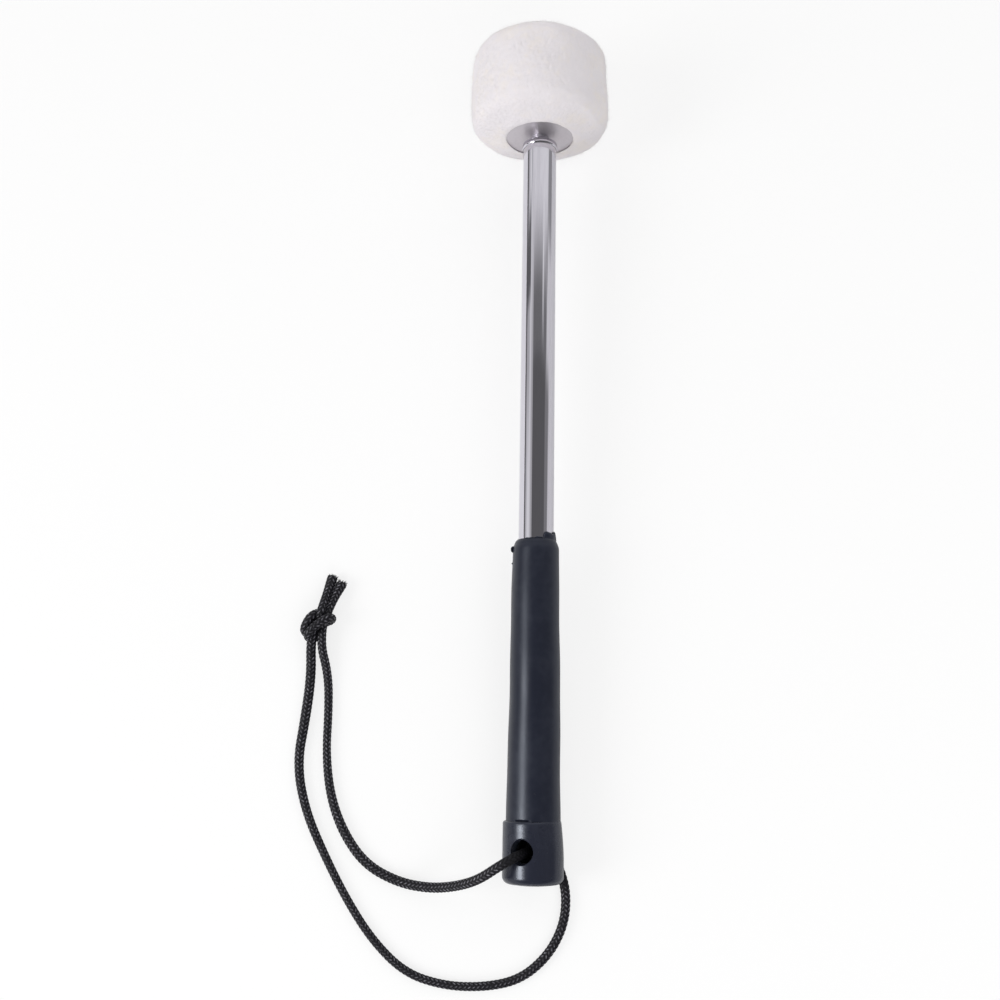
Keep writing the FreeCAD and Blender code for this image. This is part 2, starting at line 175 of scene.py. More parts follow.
class Bench:
    """Modelling steps that the pieces share, done with Blender's own operators."""

    @staticmethod
    def clear() -> None:
        """Leave edit mode and deselect everything."""
        active = bpy.context.view_layer.objects.active
        if active is not None and active.mode != "OBJECT":
            bpy.ops.object.mode_set(mode="OBJECT")
        bpy.ops.object.select_all(action="DESELECT")

    @staticmethod
    def take(piece: Piece) -> None:
        """Select one piece alone and make it active.

        Args:
            piece: Piece to take.
        """
        Bench.clear()
        piece.select_set(True)
        bpy.context.view_layer.objects.active = piece

    @staticmethod
    def turned(name: str, outline: Outline, segments: int, end: End) -> Piece:
        """Turn an outline about the local Z axis by extruding and resizing a ring.

        Args:
            name: Name of the new piece.
            outline: Corners as (station, radius), with no radius of zero.
            segments: Number of points round the axis.
            end: Whether both ends close on the axis or the last corner meets the first.

        Returns:
            The piece, still in its local frame.
        """
        Bench.clear()
        station, radius = outline[0]
        bpy.ops.mesh.primitive_circle_add(vertices=segments, radius=radius, location=(0.0, 0.0, station))
        piece = bpy.context.object
        piece.name = name
        bpy.ops.object.transform_apply(location=True, rotation=False, scale=False)
        bpy.ops.object.mode_set(mode="EDIT")
        bpy.ops.mesh.select_all(action="SELECT")
        for (station, radius), (next_station, next_radius) in zip(outline, outline[1:]):
            move = {"value": (0.0, 0.0, next_station - station)}
            bpy.ops.mesh.extrude_region_move(TRANSFORM_OT_translate=move)
            grow = next_radius / radius
            bpy.ops.transform.resize(value=(grow, grow, 1.0), center_override=(0.0, 0.0, next_station))
        if end is End.POLE:
            Bench.close_on_axis()
            bpy.ops.mesh.select_all(action="DESELECT")
            bpy.ops.mesh.select_non_manifold()
            Bench.close_on_axis()
        bpy.ops.mesh.select_all(action="SELECT")
        bpy.ops.mesh.remove_doubles(threshold=MERGE_GAP)
        bpy.ops.mesh.normals_make_consistent(inside=False)
        bpy.ops.object.mode_set(mode="OBJECT")
        Bench.put_in_order(piece)
        bpy.ops.object.shade_smooth()
        return piece

    @staticmethod
    def put_in_order(piece: Piece) -> None:
        """Number a piece's points and faces by their places, so that every run has the same numbers.

        Args:
            piece: Turned piece, whose mesh is replaced.
        """
        places = Bench.points(piece)
        order = np.lexsort(places.T)
        rank = np.argsort(order)
        faces = []
        for face in piece.data.polygons:
            corners = [int(rank[corner]) for corner in face.vertices]
            first = corners.index(min(corners))
            faces.append(corners[first:] + corners[:first])
        loose = piece.data
        piece.data = bpy.data.meshes.new(piece.name)
        piece.data.from_pydata(places[order].tolist(), [], sorted(faces))
        bpy.data.meshes.remove(loose)

    @staticmethod
    def arc(middle: Span, size: float, start: float, end: float, steps: int) -> Outline:
        """Points of an arc, by the angle from outwards towards the head.

        Args:
            middle: Station and radius of its centre.
            size: Its radius.
            start: Angle at its start.
            end: Angle at its end.
            steps: Number of points.

        Returns:
            The points.
        """
        station, radius = middle
        return [(station + size * math.sin(turn), radius + size * math.cos(turn))
                for turn in np.linspace(start, end, steps)]

    @staticmethod
    def close_on_axis() -> None:
        """Draw the selected ring together into one point on the axis."""
        bpy.ops.mesh.extrude_region()
        bpy.ops.mesh.merge(type="CENTER")

    @staticmethod
    def place(piece: Piece, line: ShaftLine) -> Piece:
        """Lay a turned piece on the shaft and put its place into its mesh.

        Args:
            piece: Piece in its local frame.
            line: Line of the shaft.

        Returns:
            The same piece.
        """
        Bench.take(piece)
        piece.matrix_world = line.matrix()
        bpy.ops.object.transform_apply(location=True, rotation=True, scale=True)
        return piece

    @staticmethod
    def points(piece: Piece) -> np.ndarray:
        """Points of a mesh.

        Args:
            piece: Piece to read.

        Returns:
            One row for each point.
        """
        found = np.zeros(len(piece.data.vertices) * 3)
        piece.data.vertices.foreach_get("co", found)
        return found.reshape(-1, 3)

    @staticmethod
    def set_points(piece: Piece, places: np.ndarray) -> None:
        """Move the points of a mesh to new places."""
        piece.data.vertices.foreach_set("co", places.ravel())
        piece.data.update()

    @staticmethod
    def around(places: np.ndarray) -> tuple[np.ndarray, np.ndarray]:
        """Distance of points from the local axis, and their turn in degrees from the top to the right."""
        span = np.hypot(places[:, 0], places[:, 1])
        return span, np.degrees(np.arctan2(places[:, 0], -places[:, 1]))

    @staticmethod
    def mark(piece: Piece, name: str, values: np.ndarray) -> None:
        """Store a value on every point of a piece, for its material to read."""
        stored = piece.data.attributes.new(name, "FLOAT", "POINT")
        stored.data.foreach_set("value", values.ravel().astype(np.float32))

    @staticmethod
    def apply(piece: Piece, modifier: bpy.types.Modifier) -> None:
        """Apply one modifier to its piece."""
        Bench.take(piece)
        bpy.ops.object.modifier_apply(modifier=modifier.name)

    @staticmethod
    def roughen(piece: Piece, name: str, grain: float, height: float) -> None:
        """Move a surface in and out by a cloudy pattern.

        Args:
            piece: Piece to roughen.
            name: Name of the pattern.
            grain: Size of its lumps.
            height: How far it moves the surface in all.
        """
        pattern = bpy.data.textures.new(name, "CLOUDS")
        pattern.noise_scale = grain
        pattern.noise_depth = 2
        lumps = piece.modifiers.new(name, "DISPLACE")
        lumps.texture = pattern
        lumps.texture_coords = "LOCAL"
        lumps.strength = height
        lumps.mid_level = 0.5
        Bench.apply(piece, lumps)

    @staticmethod
    def mesh(name: str, places: np.ndarray, faces: list[tuple[int, ...]]) -> Piece:
        """New smooth piece from points and faces.

        Args:
            name: Name of the piece.
            places: One row for each point.
            faces: Numbers of the points round each face.

        Returns:
            The piece.
        """
        data = bpy.data.meshes.new(name)
        data.from_pydata(places.tolist(), [], faces)
        data.polygons.foreach_set("use_smooth", [True] * len(data.polygons))
        data.update()
        piece = bpy.data.objects.new(name, data)
        bpy.context.scene.collection.objects.link(piece)
        return piece


class Board:
    """Node tree with short calls to add and join nodes."""

    def __init__(self, tree: bpy.types.NodeTree) -> None:
        """Start from an empty tree."""
        self.tree = tree
        tree.nodes.clear()

    def put(self, node: bpy.types.Node, inputs: dict[Any, Any]) -> bpy.types.Node:
        """Set a node's inputs, or link them to other nodes' outputs.

        Args:
            node: Node to feed.
            inputs: Socket name or number to a value or another node's output.

        Returns:
            The same node.
        """
        for socket, value in inputs.items():
            if isinstance(value, Socket):
                self.tree.links.new(value, node.inputs[socket])
            else:
                node.inputs[socket].default_value = value
        return node

    def add(self, kind: str, inputs: dict[Any, Any] | None = None, **settings: Any) -> bpy.types.Node:
        """Add a node, set its properties and feed its inputs.

        Args:
            kind: Node type, without the leading ShaderNode.
            inputs: Socket name or number to a value or another node's output.
            **settings: Properties of the node.

        Returns:
            The new node.
        """
        node = self.tree.nodes.new("ShaderNode" + kind)
        for name, value in settings.items():
            setattr(node, name, value)
        return self.put(node, inputs or {})

    def mix(self, share: Any, first: Any, second: Any) -> Socket:
        """Mix two colours, with a share of the second."""
        return self.add("Mix", {0: share, 6: first, 7: second}, data_type="RGBA").outputs[2]

    def span(self, value: Any, results: Span, over: Span = RISE) -> Socket:
        """Map a value smoothly from a range onto results.

        Args:
            value: Number or output to map.
            results: Results at the start and the end of the range.
            over: The range.

        Returns:
            The mapped value.
        """
        sockets = ("Value", "From Min", "From Max", "To Min", "To Max")
        inputs = dict(zip(sockets, (value, *over, *results)))
        return self.add("MapRange", inputs, interpolation_type="SMOOTHSTEP").outputs[0]

    def sum(self, operation: str, first: Any, second: Any) -> Socket:
        """Result of one sum on two numbers or outputs."""
        return self.add("Math", {0: first, 1: second}, operation=operation).outputs[0]

    def noise(self, place: Any, scale: Any, detail: float, swirl: Any = 0.0) -> Socket:
        """Cloudy value from one noise."""
        inputs = {"Vector": place, "Scale": scale, "Detail": detail, "Distortion": swirl}
        return self.add("TexNoise", inputs).outputs[0]

    def bump(self, height: Any, depth: Any, strength: float = 1.0) -> Socket:
        """Normal of a surface that a value raises."""
        return self.add("Bump", {"Height": height, "Distance": depth, "Strength": strength}).outputs[0]

    def marked(self, name: str) -> Socket:
        """Value stored on the points of the piece, which is zero on a piece without it."""
        return self.add("Attribute", attribute_name=name).outputs["Fac"]

    def object_place(self) -> Socket:
        """Place on the piece in its own coordinates."""
        return self.add("TexCoord").outputs["Object"]

    def drawn_out(self, place: Any, scale: Triple) -> Socket:
        """Coordinates on which a pattern is stretched."""
        return self.add("Mapping", {"Vector": place, "Scale": scale}).outputs[0]


class Effects:
    """Node groups that several finishes share, each built once."""

    made: dict[str, bpy.types.NodeTree] = {}
    clouds: tuple[tuple[str, float], ...] = (("Coarse", 3.0), ("Fine", 2.0))
    grain_detail: float = 3.0

    @classmethod
    def use(cls, board: Board, name: str, inputs: dict[str, Any], output: tuple[str, str],
            draw: Callable[[Board, Any], Socket]) -> Socket:
        """Place a group in a material with its own values, after building it on its first use.

        Args:
            board: Tree of the material.
            name: Name of the group.
            inputs: Values of its inputs, of which the first is a place and the others are numbers.
            output: Name and socket type of its output.
            draw: Function that adds the group's nodes and returns the output to join.

        Returns:
            The group's output.
        """
        if name not in cls.made:
            tree = bpy.data.node_groups.new(name, "ShaderNodeTree")
            for number, socket in enumerate(inputs):
                kind = "NodeSocketFloat" if number else "NodeSocketVector"
                tree.interface.new_socket(socket, in_out="INPUT", socket_type=kind)
            tree.interface.new_socket(output[0], in_out="OUTPUT", socket_type=output[1])
            inner = Board(tree)
            entry = tree.nodes.new("NodeGroupInput").outputs
            leave = tree.nodes.new("NodeGroupOutput")
            tree.links.new(draw(inner, entry), leave.inputs[0])
            cls.made[name] = tree
        return board.add("Group", inputs, node_tree=cls.made[name]).outputs[0]

    @classmethod
    def mottle(cls, board: Board, place: Any, clouds: Triple) -> Socket:
        """Cloudy value from two sizes of noise.

        Args:
            board: Tree of the material.
            place: Coordinates.
            clouds: Scales of the large and the small clouds, and the share of the small ones.

        Returns:
            A value about 0.5 that changes over the surface.
        """
        def draw(inner: Board, entry: Any) -> Socket:
            """Two noises and their mix."""
            large, small = (inner.noise(entry["Place"], entry[size], detail) for size, detail in cls.clouds)
            return inner.add("Mix", {0: entry["Share"], 2: large, 3: small}, data_type="FLOAT").outputs[0]

        coarse, fine, share = clouds
        inputs = {"Place": place, "Coarse": coarse, "Fine": fine, "Share": share}
        return cls.use(board, "mottle", inputs, ("Cloud", "NodeSocketFloat"), draw)

    @classmethod
    def grain(cls, board: Board, place: Any, shape: Triple) -> Socket:
        """Normal of a fine grained surface.

        Args:
            board: Tree of the material.
            place: Coordinates.
            shape: Scale, depth and swirl of the grain.

        Returns:
            The bumped normal.
        """
        def draw(inner: Board, entry: Any) -> Socket:
            """A noise and the bump that it gives."""
            height = inner.noise(entry["Place"], entry["Scale"], cls.grain_detail, entry["Swirl"])
            return inner.bump(height, entry["Depth"])

        scale, depth, swirl = shape
        inputs = {"Place": place, "Scale": scale, "Depth": depth, "Swirl": swirl}
        return cls.use(board, "grain", inputs, ("Normal", "NodeSocketVector"), draw)


@dataclass(frozen=True)
class Finish:
    """A finish with a name, drawn once as a material.

    In each finish, clouds are the scales of the large and the small clouds and the share of the small ones,
    and grain is its scale, depth and swirl. A field that ends in over is the range of a value over which an
    effect sets in, and shares or rough are its results there.
    """

    name: str

    def material(self) -> bpy.types.Material:
        """The material of this finish, drawn on its first use.

        Returns:
            The material.
        """
        found = bpy.data.materials.get(self.name)
        if found is None:
            found = bpy.data.materials.new(self.name)
            found.use_nodes = True
            board = Board(found.node_tree)
            shader = board.add("BsdfPrincipled")
            board.add("OutputMaterial", {"Surface": shader.outputs[0]})
            board.put(shader, self.draw(board))
        return found

    def draw(self, board: Board) -> dict[str, Any]:
        """Draw the nodes that feed the shader, and return its inputs."""
        raise NotImplementedError


@dataclass(frozen=True)
class FeltFinish(Finish):
    """Pressed wool felt with faint warm and cool clouds and swirled fibres."""

    plain: Colour = (0.935, 0.885, 0.89, 1.0)
    warm: Colour = (0.94, 0.885, 0.86, 1.0)
    cool: Colour = (0.915, 0.875, 0.905, 1.0)
    shade: Colour = (0.85, 0.805, 0.81, 1.0)
    clouds: Triple = (70.0, 380.0, 0.35)
    plain_over: Span = (0.42, 0.66)
    warm_over: Span = (0.5, 0.72)
    grain: Triple = (1900.0, 0.16 * MM, 3.0)
    fibre_detail: float = 3.0
    shade_shares: Span = (0.4, 0.0)
    shade_over: Span = (0.3, 0.6)
    rough: float = 0.95
    shine: float = 0.15
    sheen: float = 0.25
    sheen_rough: float = 0.5

    def draw(self, board: Board) -> dict[str, Any]:
        """Draw the nodes that feed the shader.

        Args:
            board: Tree of the material.

        Returns:
            The shader's inputs.
        """
        place = board.object_place()
        cloud = Effects.mottle(board, place, self.clouds)
        tint = board.mix(board.span(cloud, RISE, self.plain_over), self.cool, self.plain)
        tint = board.mix(board.span(cloud, RISE, self.warm_over), tint, self.warm)
        scale, _, swirl = self.grain
        fibre = board.noise(place, scale, self.fibre_detail, swirl)
        colour = board.mix(board.span(fibre, self.shade_shares, self.shade_over), tint, self.shade)
        grain = Effects.grain(board, place, self.grain)
        return {
            "Base Color": colour, "Roughness": self.rough, "Specular IOR Level": self.shine, "Normal": grain,
            "Sheen Weight": self.sheen, "Sheen Roughness": self.sheen_rough,
        }


@dataclass(frozen=True)
class ChromeFinish(Finish):
    """Polished plating with faint lengthwise polishing lines and finger marks.

    Attributes:
        covered_to: Place along the row up to which the tube sits in the cap, where it is painted dark and
            matt, without metal, as painted shade seen through the cord hole.

    Where the value dull is stored, as on the neck, the metal is satin, and in the groove at the foot of the
    collar's dome, where its mark is stored, the plating is painted dark: painted shade.
    """

    covered_to: float
    colour: Colour = (0.61, 0.595, 0.65, 1.0)
    lined: Colour = (0.5, 0.488, 0.54, 1.0)
    # painted shade in the groove at the foot of the collar's dome
    groove_shade_colour: Colour = (0.1, 0.098, 0.105, 1.0)
    # painted shade on the tube inside the cap
    covered: Colour = (0.03, 0.036, 0.05, 1.0)
    polish: Triple = (1.0, 0.012, 1.0)
    line_scale: float = 2600.0
    line_detail: float = 3.0
    line_shares: Span = (0.0, 0.2)
    line_over: Span = (0.4, 0.75)
    clouds: Triple = (45.0, 260.0, 0.3)
    rough: Span = (0.03, 0.09)
    rough_over: Span = (0.12, 0.5)
    satin: float = 0.42
    grain: Triple = (1500.0, 0.002 * MM, 0.0)

    def draw(self, board: Board) -> dict[str, Any]:
        """Draw the nodes that feed the shader.

        Args:
            board: Tree of the material.

        Returns:
            The shader's inputs.
        """
        place = board.object_place()
        drawn = board.drawn_out(place, self.polish)
        lines = board.noise(drawn, self.line_scale, self.line_detail)
        marks = Effects.mottle(board, place, self.clouds)
        rough = board.span(board.sum("MULTIPLY", lines, marks), self.rough, self.rough_over)
        colour = board.mix(board.span(lines, self.line_shares, self.line_over), self.colour, self.lined)
        # painted shade: the plating is darkened in the groove at the foot of the dome
        colour = board.mix(board.marked("painted_groove_shade"), colour, self.groove_shade_colour)
        along = board.add("SeparateXYZ", {0: place}).outputs[1]
        # inside the cap the tube is painted dark and matt, without metal: painted shade
        bare = board.sum("GREATER_THAN", along, self.covered_to)
        satin = board.sum("MULTIPLY", board.marked("dull"), self.satin)
        dull = board.sum("MAXIMUM", board.sum("SUBTRACT", 1.0, bare), satin)
        return {
            "Base Color": board.mix(bare, self.covered, colour), "Metallic": bare,
            "Roughness": board.sum("MAXIMUM", rough, dull),
            "Normal": Effects.grain(board, drawn, self.grain),
        }


@dataclass(frozen=True)
class TurnedSteelFinish(Finish):
    """Satin steel with fine rings left by turning about the shaft.

    Attributes:
        line: Line of the shaft.
        middle: Station of the rings' middle.
    """

    line: ShaftLine
    middle: float
    colour: Colour = (0.60, 0.565, 0.60, 1.0)
    clouded: Colour = (0.5, 0.47, 0.5, 1.0)
    clouds: Triple = (160.0, 900.0, 0.4)
    cloud_shares: Span = (0.0, 0.35)
    cloud_over: Span = (0.4, 0.7)
    ring_pitch: float = 0.28 * MM
    ring_waver: float = 0.6
    ring_detail: float = 2.0
    ring_depth: float = 0.004 * MM
    ring_strength: float = 0.6
    ring_share: float = 0.35
    wave_rate: float = 20.0
    rough: Span = (0.34, 0.46)
    rough_over: Span = (0.3, 1.0)
    metal: float = 0.72
    brushed: float = 0.65
    brushed_turn: float = 0.25

    def draw(self, board: Board) -> dict[str, Any]:
        """Draw the nodes that feed the shader.

        Args:
            board: Tree of the material.

        Returns:
            The shader's inputs.
        """
        place = board.object_place()
        turn = self.line.matrix().to_3x3().transposed()
        hub = self.line.foot + self.line.along * self.middle
        inputs = {"Vector": place, "Rotation": turn.to_euler(), "Location": -(turn @ hub)}
        flat = board.add("Mapping", inputs).outputs[0]
        inputs = {"Vector": flat, "Scale": math.tau / self.wave_rate / self.ring_pitch,
                  "Distortion": self.ring_waver, "Detail": self.ring_detail}
        rings = board.add("TexWave", inputs, wave_type="RINGS", rings_direction="Z").outputs[1]
        cloud = Effects.mottle(board, place, self.clouds)
        uneven = board.sum("ADD", board.sum("MULTIPLY", rings, self.ring_share), cloud)
        colour = board.mix(board.span(cloud, self.cloud_shares, self.cloud_over), self.colour, self.clouded)
        arm = board.add("VectorMath", {0: place, 1: hub}, operation="SUBTRACT").outputs[0]
        round_it = board.add("VectorMath", {0: self.line.along, 1: arm}, operation="CROSS_PRODUCT").outputs[0]
        return {
            "Base Color": colour, "Metallic": self.metal, "Tangent": round_it,
            "Roughness": board.span(uneven, self.rough, self.rough_over),
            "Normal": board.bump(rings, self.ring_depth, self.ring_strength),
            "Anisotropic": self.brushed, "Anisotropic Rotation": self.brushed_turn,
        }


@dataclass(frozen=True)
class RubberFinish(Finish):
    """Dark rubber with a soft sheen, slight clouding, and pale dust in its fine grain.

    Where the value inside is stored, on the walls of the cord hole and the bore, it takes a paler, matt
    colour without reflection: painted light that stands in for the dim light in the hole.
    """

    deep: Colour = (0.0125, 0.0145, 0.0255, 1.0)
    worn: Colour = (0.0175, 0.020, 0.0325, 1.0)
    dusty: Colour = (0.05, 0.053, 0.06, 1.0)
    # painted light: paler colour of the walls of the cord hole and the bore
    hollow: Colour = (0.05, 0.06, 0.085, 1.0)
    tint: Colour = (0.86, 0.91, 1.0, 1.0)
    clouds: Triple = (55.0, 420.0, 0.4)
    worn_over: Span = (0.38, 0.66)
    dust_scale: float = 1300.0
    dust_detail: float = 1.0
    dust_shares: Span = (0.0, 0.3)
    dust_over: Span = (0.74, 0.82)
    rough: Span = (0.32, 0.42)
    rough_over: Span = (0.35, 0.68)
    shine: float = 0.35
    grain: Triple = (2400.0, 0.015 * MM, 0.4)

    def draw(self, board: Board) -> dict[str, Any]:
        """Draw the nodes that feed the shader.

        Args:
            board: Tree of the material.

        Returns:
            The shader's inputs.
        """
        place = board.object_place()
        cloud = Effects.mottle(board, place, self.clouds)
        colour = board.mix(board.span(cloud, RISE, self.worn_over), self.deep, self.worn)
        dust = board.noise(place, self.dust_scale, self.dust_detail)
        colour = board.mix(board.span(dust, self.dust_shares, self.dust_over), colour, self.dusty)
        # the walls of the hole get a paler, matt colour without reflection: painted light
        inside = board.marked("inside")
        rough = board.span(cloud, self.rough, self.rough_over)
        return {
            "Base Color": board.mix(inside, colour, self.hollow),
            "Roughness": board.sum("MAXIMUM", rough, inside),
            "Specular IOR Level": board.span(inside, (self.shine, 0.0)), "Specular Tint": self.tint,
            "Normal": Effects.grain(board, place, self.grain),
        }


@dataclass(frozen=True)
class BraidFinish(Finish):
    """Black braided yarn with fine filaments along its strands, painted highlights in patches on the crowns
    of the strands, and painted shade in the hollows between them.
    """

    # painted shade: colour of the hollows between the strands
    hollow: Colour = (0.0006, 0.0006, 0.0009, 1.0)
    yarn: Colour = (0.0082, 0.0079, 0.0108, 1.0)
    # painted highlight: colour of the strand crowns
    crown: Colour = (0.3, 0.29, 0.335, 1.0)
    crevice_shade_over: Span = (0.1, 0.55)
    glint_over: Span = (0.78, 1.0)
    thread_detail: float = 2.0
    thread_depth: float = 0.05 * MM
    thread_strength: float = 0.6
    thread_shares: Span = (0.05, 1.0)
    thread_over: Span = (0.38, 0.62)
    clouds: Triple = (260.0, 900.0, 0.5)
    # clouds that break the painted highlights into patches
    glint_patch_shares: Span = (0.2, 1.0)
    glint_patch_over: Span = (0.4, 0.6)
    rough: Span = (0.85, 0.4)
    rough_over: Span = (0.3, 1.0)
    shine: float = 0.22

    def draw(self, board: Board) -> dict[str, Any]:
        """Draw the nodes that feed the shader.

        Args:
            board: Tree of the material.

        Returns:
            The shader's inputs.
        """
        height = board.marked("crown")
        lay = board.add("Attribute", attribute_name="lay").outputs["Vector"]
        threads = board.noise(lay, 1.0, self.thread_detail)
        # painted shade: the yarn is darker where the strands are low
        colour = board.mix(board.span(height, RISE, self.crevice_shade_over), self.hollow, self.yarn)
        # painted highlights on the strand crowns, broken by the filaments
        painted_glints = board.sum("MULTIPLY", board.span(height, RISE, self.glint_over),
                        board.span(threads, self.thread_shares, self.thread_over))
        # large clouds break the painted highlights into patches
        worn = Effects.mottle(board, board.object_place(), self.clouds)
        painted_glints = board.sum("MULTIPLY", painted_glints, board.span(worn, self.glint_patch_shares, self.glint_patch_over))
        return {
            "Base Color": board.mix(painted_glints, colour, self.crown), "Specular IOR Level": self.shine,
            "Roughness": board.span(height, self.rough, self.rough_over),
            "Normal": board.bump(threads, self.thread_depth, self.thread_strength),
        }


@dataclass(frozen=True)
class WoodFinish(Finish):
    """Turned pale wood with its grain along the shaft."""

    light: Colour = (0.62, 0.44, 0.26, 1.0)
    dark: Colour = (0.42, 0.26, 0.13, 1.0)
    growth: Triple = (1.0, 0.08, 1.0)
    ring_scale: float = 110.0
    ring_waver: float = 5.0
    ring_detail: float = 3.0
    dark_shares: Span = (0.0, 0.8)
    rough: Span = (0.5, 0.65)
    grain: Triple = (2500.0, 0.03 * MM, 0.5)

    def draw(self, board: Board) -> dict[str, Any]:
        """Draw the nodes that feed the shader.

        Args:
            board: Tree of the material.

        Returns:
            The shader's inputs.
        """
        drawn = board.drawn_out(board.object_place(), self.growth)
        inputs = {"Vector": drawn, "Scale": self.ring_scale, "Distortion": self.ring_waver,
                  "Detail": self.ring_detail}
        rings = board.add("TexWave", inputs).outputs[1]
        return {
            "Base Color": board.mix(board.span(rings, self.dark_shares), self.light, self.dark),
            "Roughness": board.span(rings, self.rough),
            "Normal": Effects.grain(board, drawn, self.grain),
        }


@dataclass(frozen=True)
class ZincFinish(Finish):
    """Zinc plated steel with a faint crystalline clouding."""

    colour: Colour = (0.56, 0.56, 0.55, 1.0)
    clouded: Colour = (0.44, 0.44, 0.42, 1.0)
    clouds: Triple = (300.0, 1500.0, 0.5)
    cloud_shares: Span = (0.0, 0.6)
    cloud_over: Span = (0.4, 0.65)
    rough: Span = (0.25, 0.42)
    rough_over: Span = (0.35, 0.65)
    grain: Triple = (1800.0, 0.01 * MM, 0.2)

    def draw(self, board: Board) -> dict[str, Any]:
        """Draw the nodes that feed the shader.

        Args:
            board: Tree of the material.

        Returns:
            The shader's inputs.
        """
        place = board.object_place()
        cloud = Effects.mottle(board, place, self.clouds)
        clouding = board.span(cloud, self.cloud_shares, self.cloud_over)
        return {
            "Base Color": board.mix(clouding, self.colour, self.clouded), "Metallic": 1.0,
            "Roughness": board.span(cloud, self.rough, self.rough_over),
            "Normal": Effects.grain(board, place, self.grain),
        }


@dataclass(frozen=True)
class FoamFinish(Finish):
    """Dense dark foam with fine cells."""

    colour: Colour = (0.045, 0.045, 0.05, 1.0)
    hollow: Colour = (0.02, 0.02, 0.022, 1.0)
    cell_scale: float = 1400.0
    cell_depth: float = 0.1 * MM
    cell_strength: float = 0.7
    hollow_shares: Span = (0.0, 0.7)
    rough: Span = (0.8, 0.95)

    def draw(self, board: Board) -> dict[str, Any]:
        """Draw the nodes that feed the shader.

        Args:
            board: Tree of the material.

        Returns:
            The shader's inputs.
        """
        inputs = {"Vector": board.object_place(), "Scale": self.cell_scale}
        cells = board.add("TexVoronoi", inputs).outputs["Distance"]
        return {
            "Base Color": board.mix(board.span(cells, self.hollow_shares), self.colour, self.hollow),
            "Roughness": board.span(cells, self.rough),
            "Normal": board.bump(cells, self.cell_depth, self.cell_strength),
        }


def dress(piece: Piece, finish: Finish) -> None:
    """Give a piece one material."""
    piece.data.materials.clear()
    piece.data.materials.append(finish.material())


def dress_solid(node: str, finish: Finish) -> None:
    """Give a solid that stays in view a better material."""
    dress(frame["nodes"][node], finish)
    log.info("%s dressed", node)


def settle(piece: Piece, finish: Finish, body: Body, replaced: Sequence[str] = (),
           bend: Sequence[Point] = ()) -> None:
    """Dress a finished piece, tie it to its body unless a bend is given, and hide the solids that it stands
    for.

    Args:
        piece: Finished piece, in the row frame.
        finish: Its finish.
        body: Body that it moves with.
        replaced: Names of the solids that it stands for.
        bend: Two places at which it leaves the handle; if they are given, it stays unparented in the row
            frame, and the places themselves are not read.
    """
    dress(piece, finish)
    if bend:
        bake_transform(piece)
    else:
        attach(piece, body.value)
    if replaced:
        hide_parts(*replaced)
    log.info("%s: %d faces on %s", piece.name, len(piece.data.polygons), body.value)


@dataclass
class Bristles:
    """Fine loose fibres: thin closed spikes that lean and curl."""

    width: float
    seed: int
    joints: int = 3
    sides: int = 3
    taper: float = 0.7

    def grow(self, name: str, roots: np.ndarray, ways: np.ndarray, lengths: np.ndarray,
             curl: float) -> Piece:
        """Grow one spike at each root.

        Args:
            name: Name of the piece.
            roots: Starting points.
            ways: Unit directions at the roots.
            lengths: Length of each spike.
            curl: Sideways bend at the tip, as a share of the length.

        Returns:
            One piece with all the spikes.
        """
        draw = np.random.default_rng(self.seed)
        aside = draw.normal(size=ways.shape)
        aside -= ways * np.sum(aside * ways, axis=1, keepdims=True)
        aside /= np.linalg.norm(aside, axis=1, keepdims=True)
        third = np.cross(ways, aside)
        bends = lengths * draw.normal(0.0, curl, size=len(roots))
        count = self.joints * self.sides + 1
        places = np.zeros((len(roots), count, 3))
        for joint in range(self.joints):
            share = joint / self.joints
            middle = roots + ways * (lengths * share)[:, None] + aside * (bends * share ** 2)[:, None]
            wide = self.width / 2 * (1.0 - self.taper * share)
            for side in range(self.sides):
                turn = math.tau * side / self.sides
                around = aside * math.cos(turn) + third * math.sin(turn)
                places[:, joint * self.sides + side] = middle + around * wide
        places[:, -1] = roots + ways * lengths[:, None] + aside * bends[:, None]
        faces = [face for root in range(len(roots)) for face in self.faces(root * count)]
        return Bench.mesh(name, places.reshape(-1, 3), faces)

    def faces(self, start: int) -> list[tuple[int, ...]]:
        """Faces of one spike.

        Args:
            start: Number of its first point.

        Returns:
            Numbers of the points round each face.
        """
        tip = start + self.joints * self.sides
        faces: list[tuple[int, ...]] = [tuple(start + side for side in reversed(range(self.sides)))]
        for joint in range(self.joints):
            base = start + joint * self.sides
            up = base + self.sides
            for side in range(self.sides):
                after = (side + 1) % self.sides
                if up < tip:
                    faces.append((base + side, base + after, up + after, up + side))
                else:
                    faces.append((base + side, base + after, tip))
        return faces


@dataclass(frozen=True)
class Shade:
    """Dim part of the room, which the bright shaft reflects as a dark band or line.

    Attributes:
        low: Least direction across, along and up that it fills.
        high: Greatest direction across, along and up that it fills.
        soft: Half the width of its edge.
        depth: Share of the light that it takes away.
    """

    low: Point
    high: Point
    soft: float
    depth: float

    def mask(self, board: Board, way: Sequence[Socket]) -> Socket:
        """Share of the light that it takes away, by direction.

        Args:
            board: Tree of the world.
            way: Direction across, along and up.

        Returns:
            The share, from 0 to its depth.
        """
        found: Any = self.depth
        for axis, low, high in zip(way, self.low, self.high):
            if low > -1.0:
                found = board.sum("MULTIPLY", found, board.span(axis, RISE, self.edge(low)))
            if high < 1.0:
                found = board.sum("MULTIPLY", found, board.span(axis, FALL, self.edge(high)))
        return found

    def edge(self, place: float) -> Span:
        """Directions between which it sets in or ends."""
        return (place - self.soft, place + self.soft)


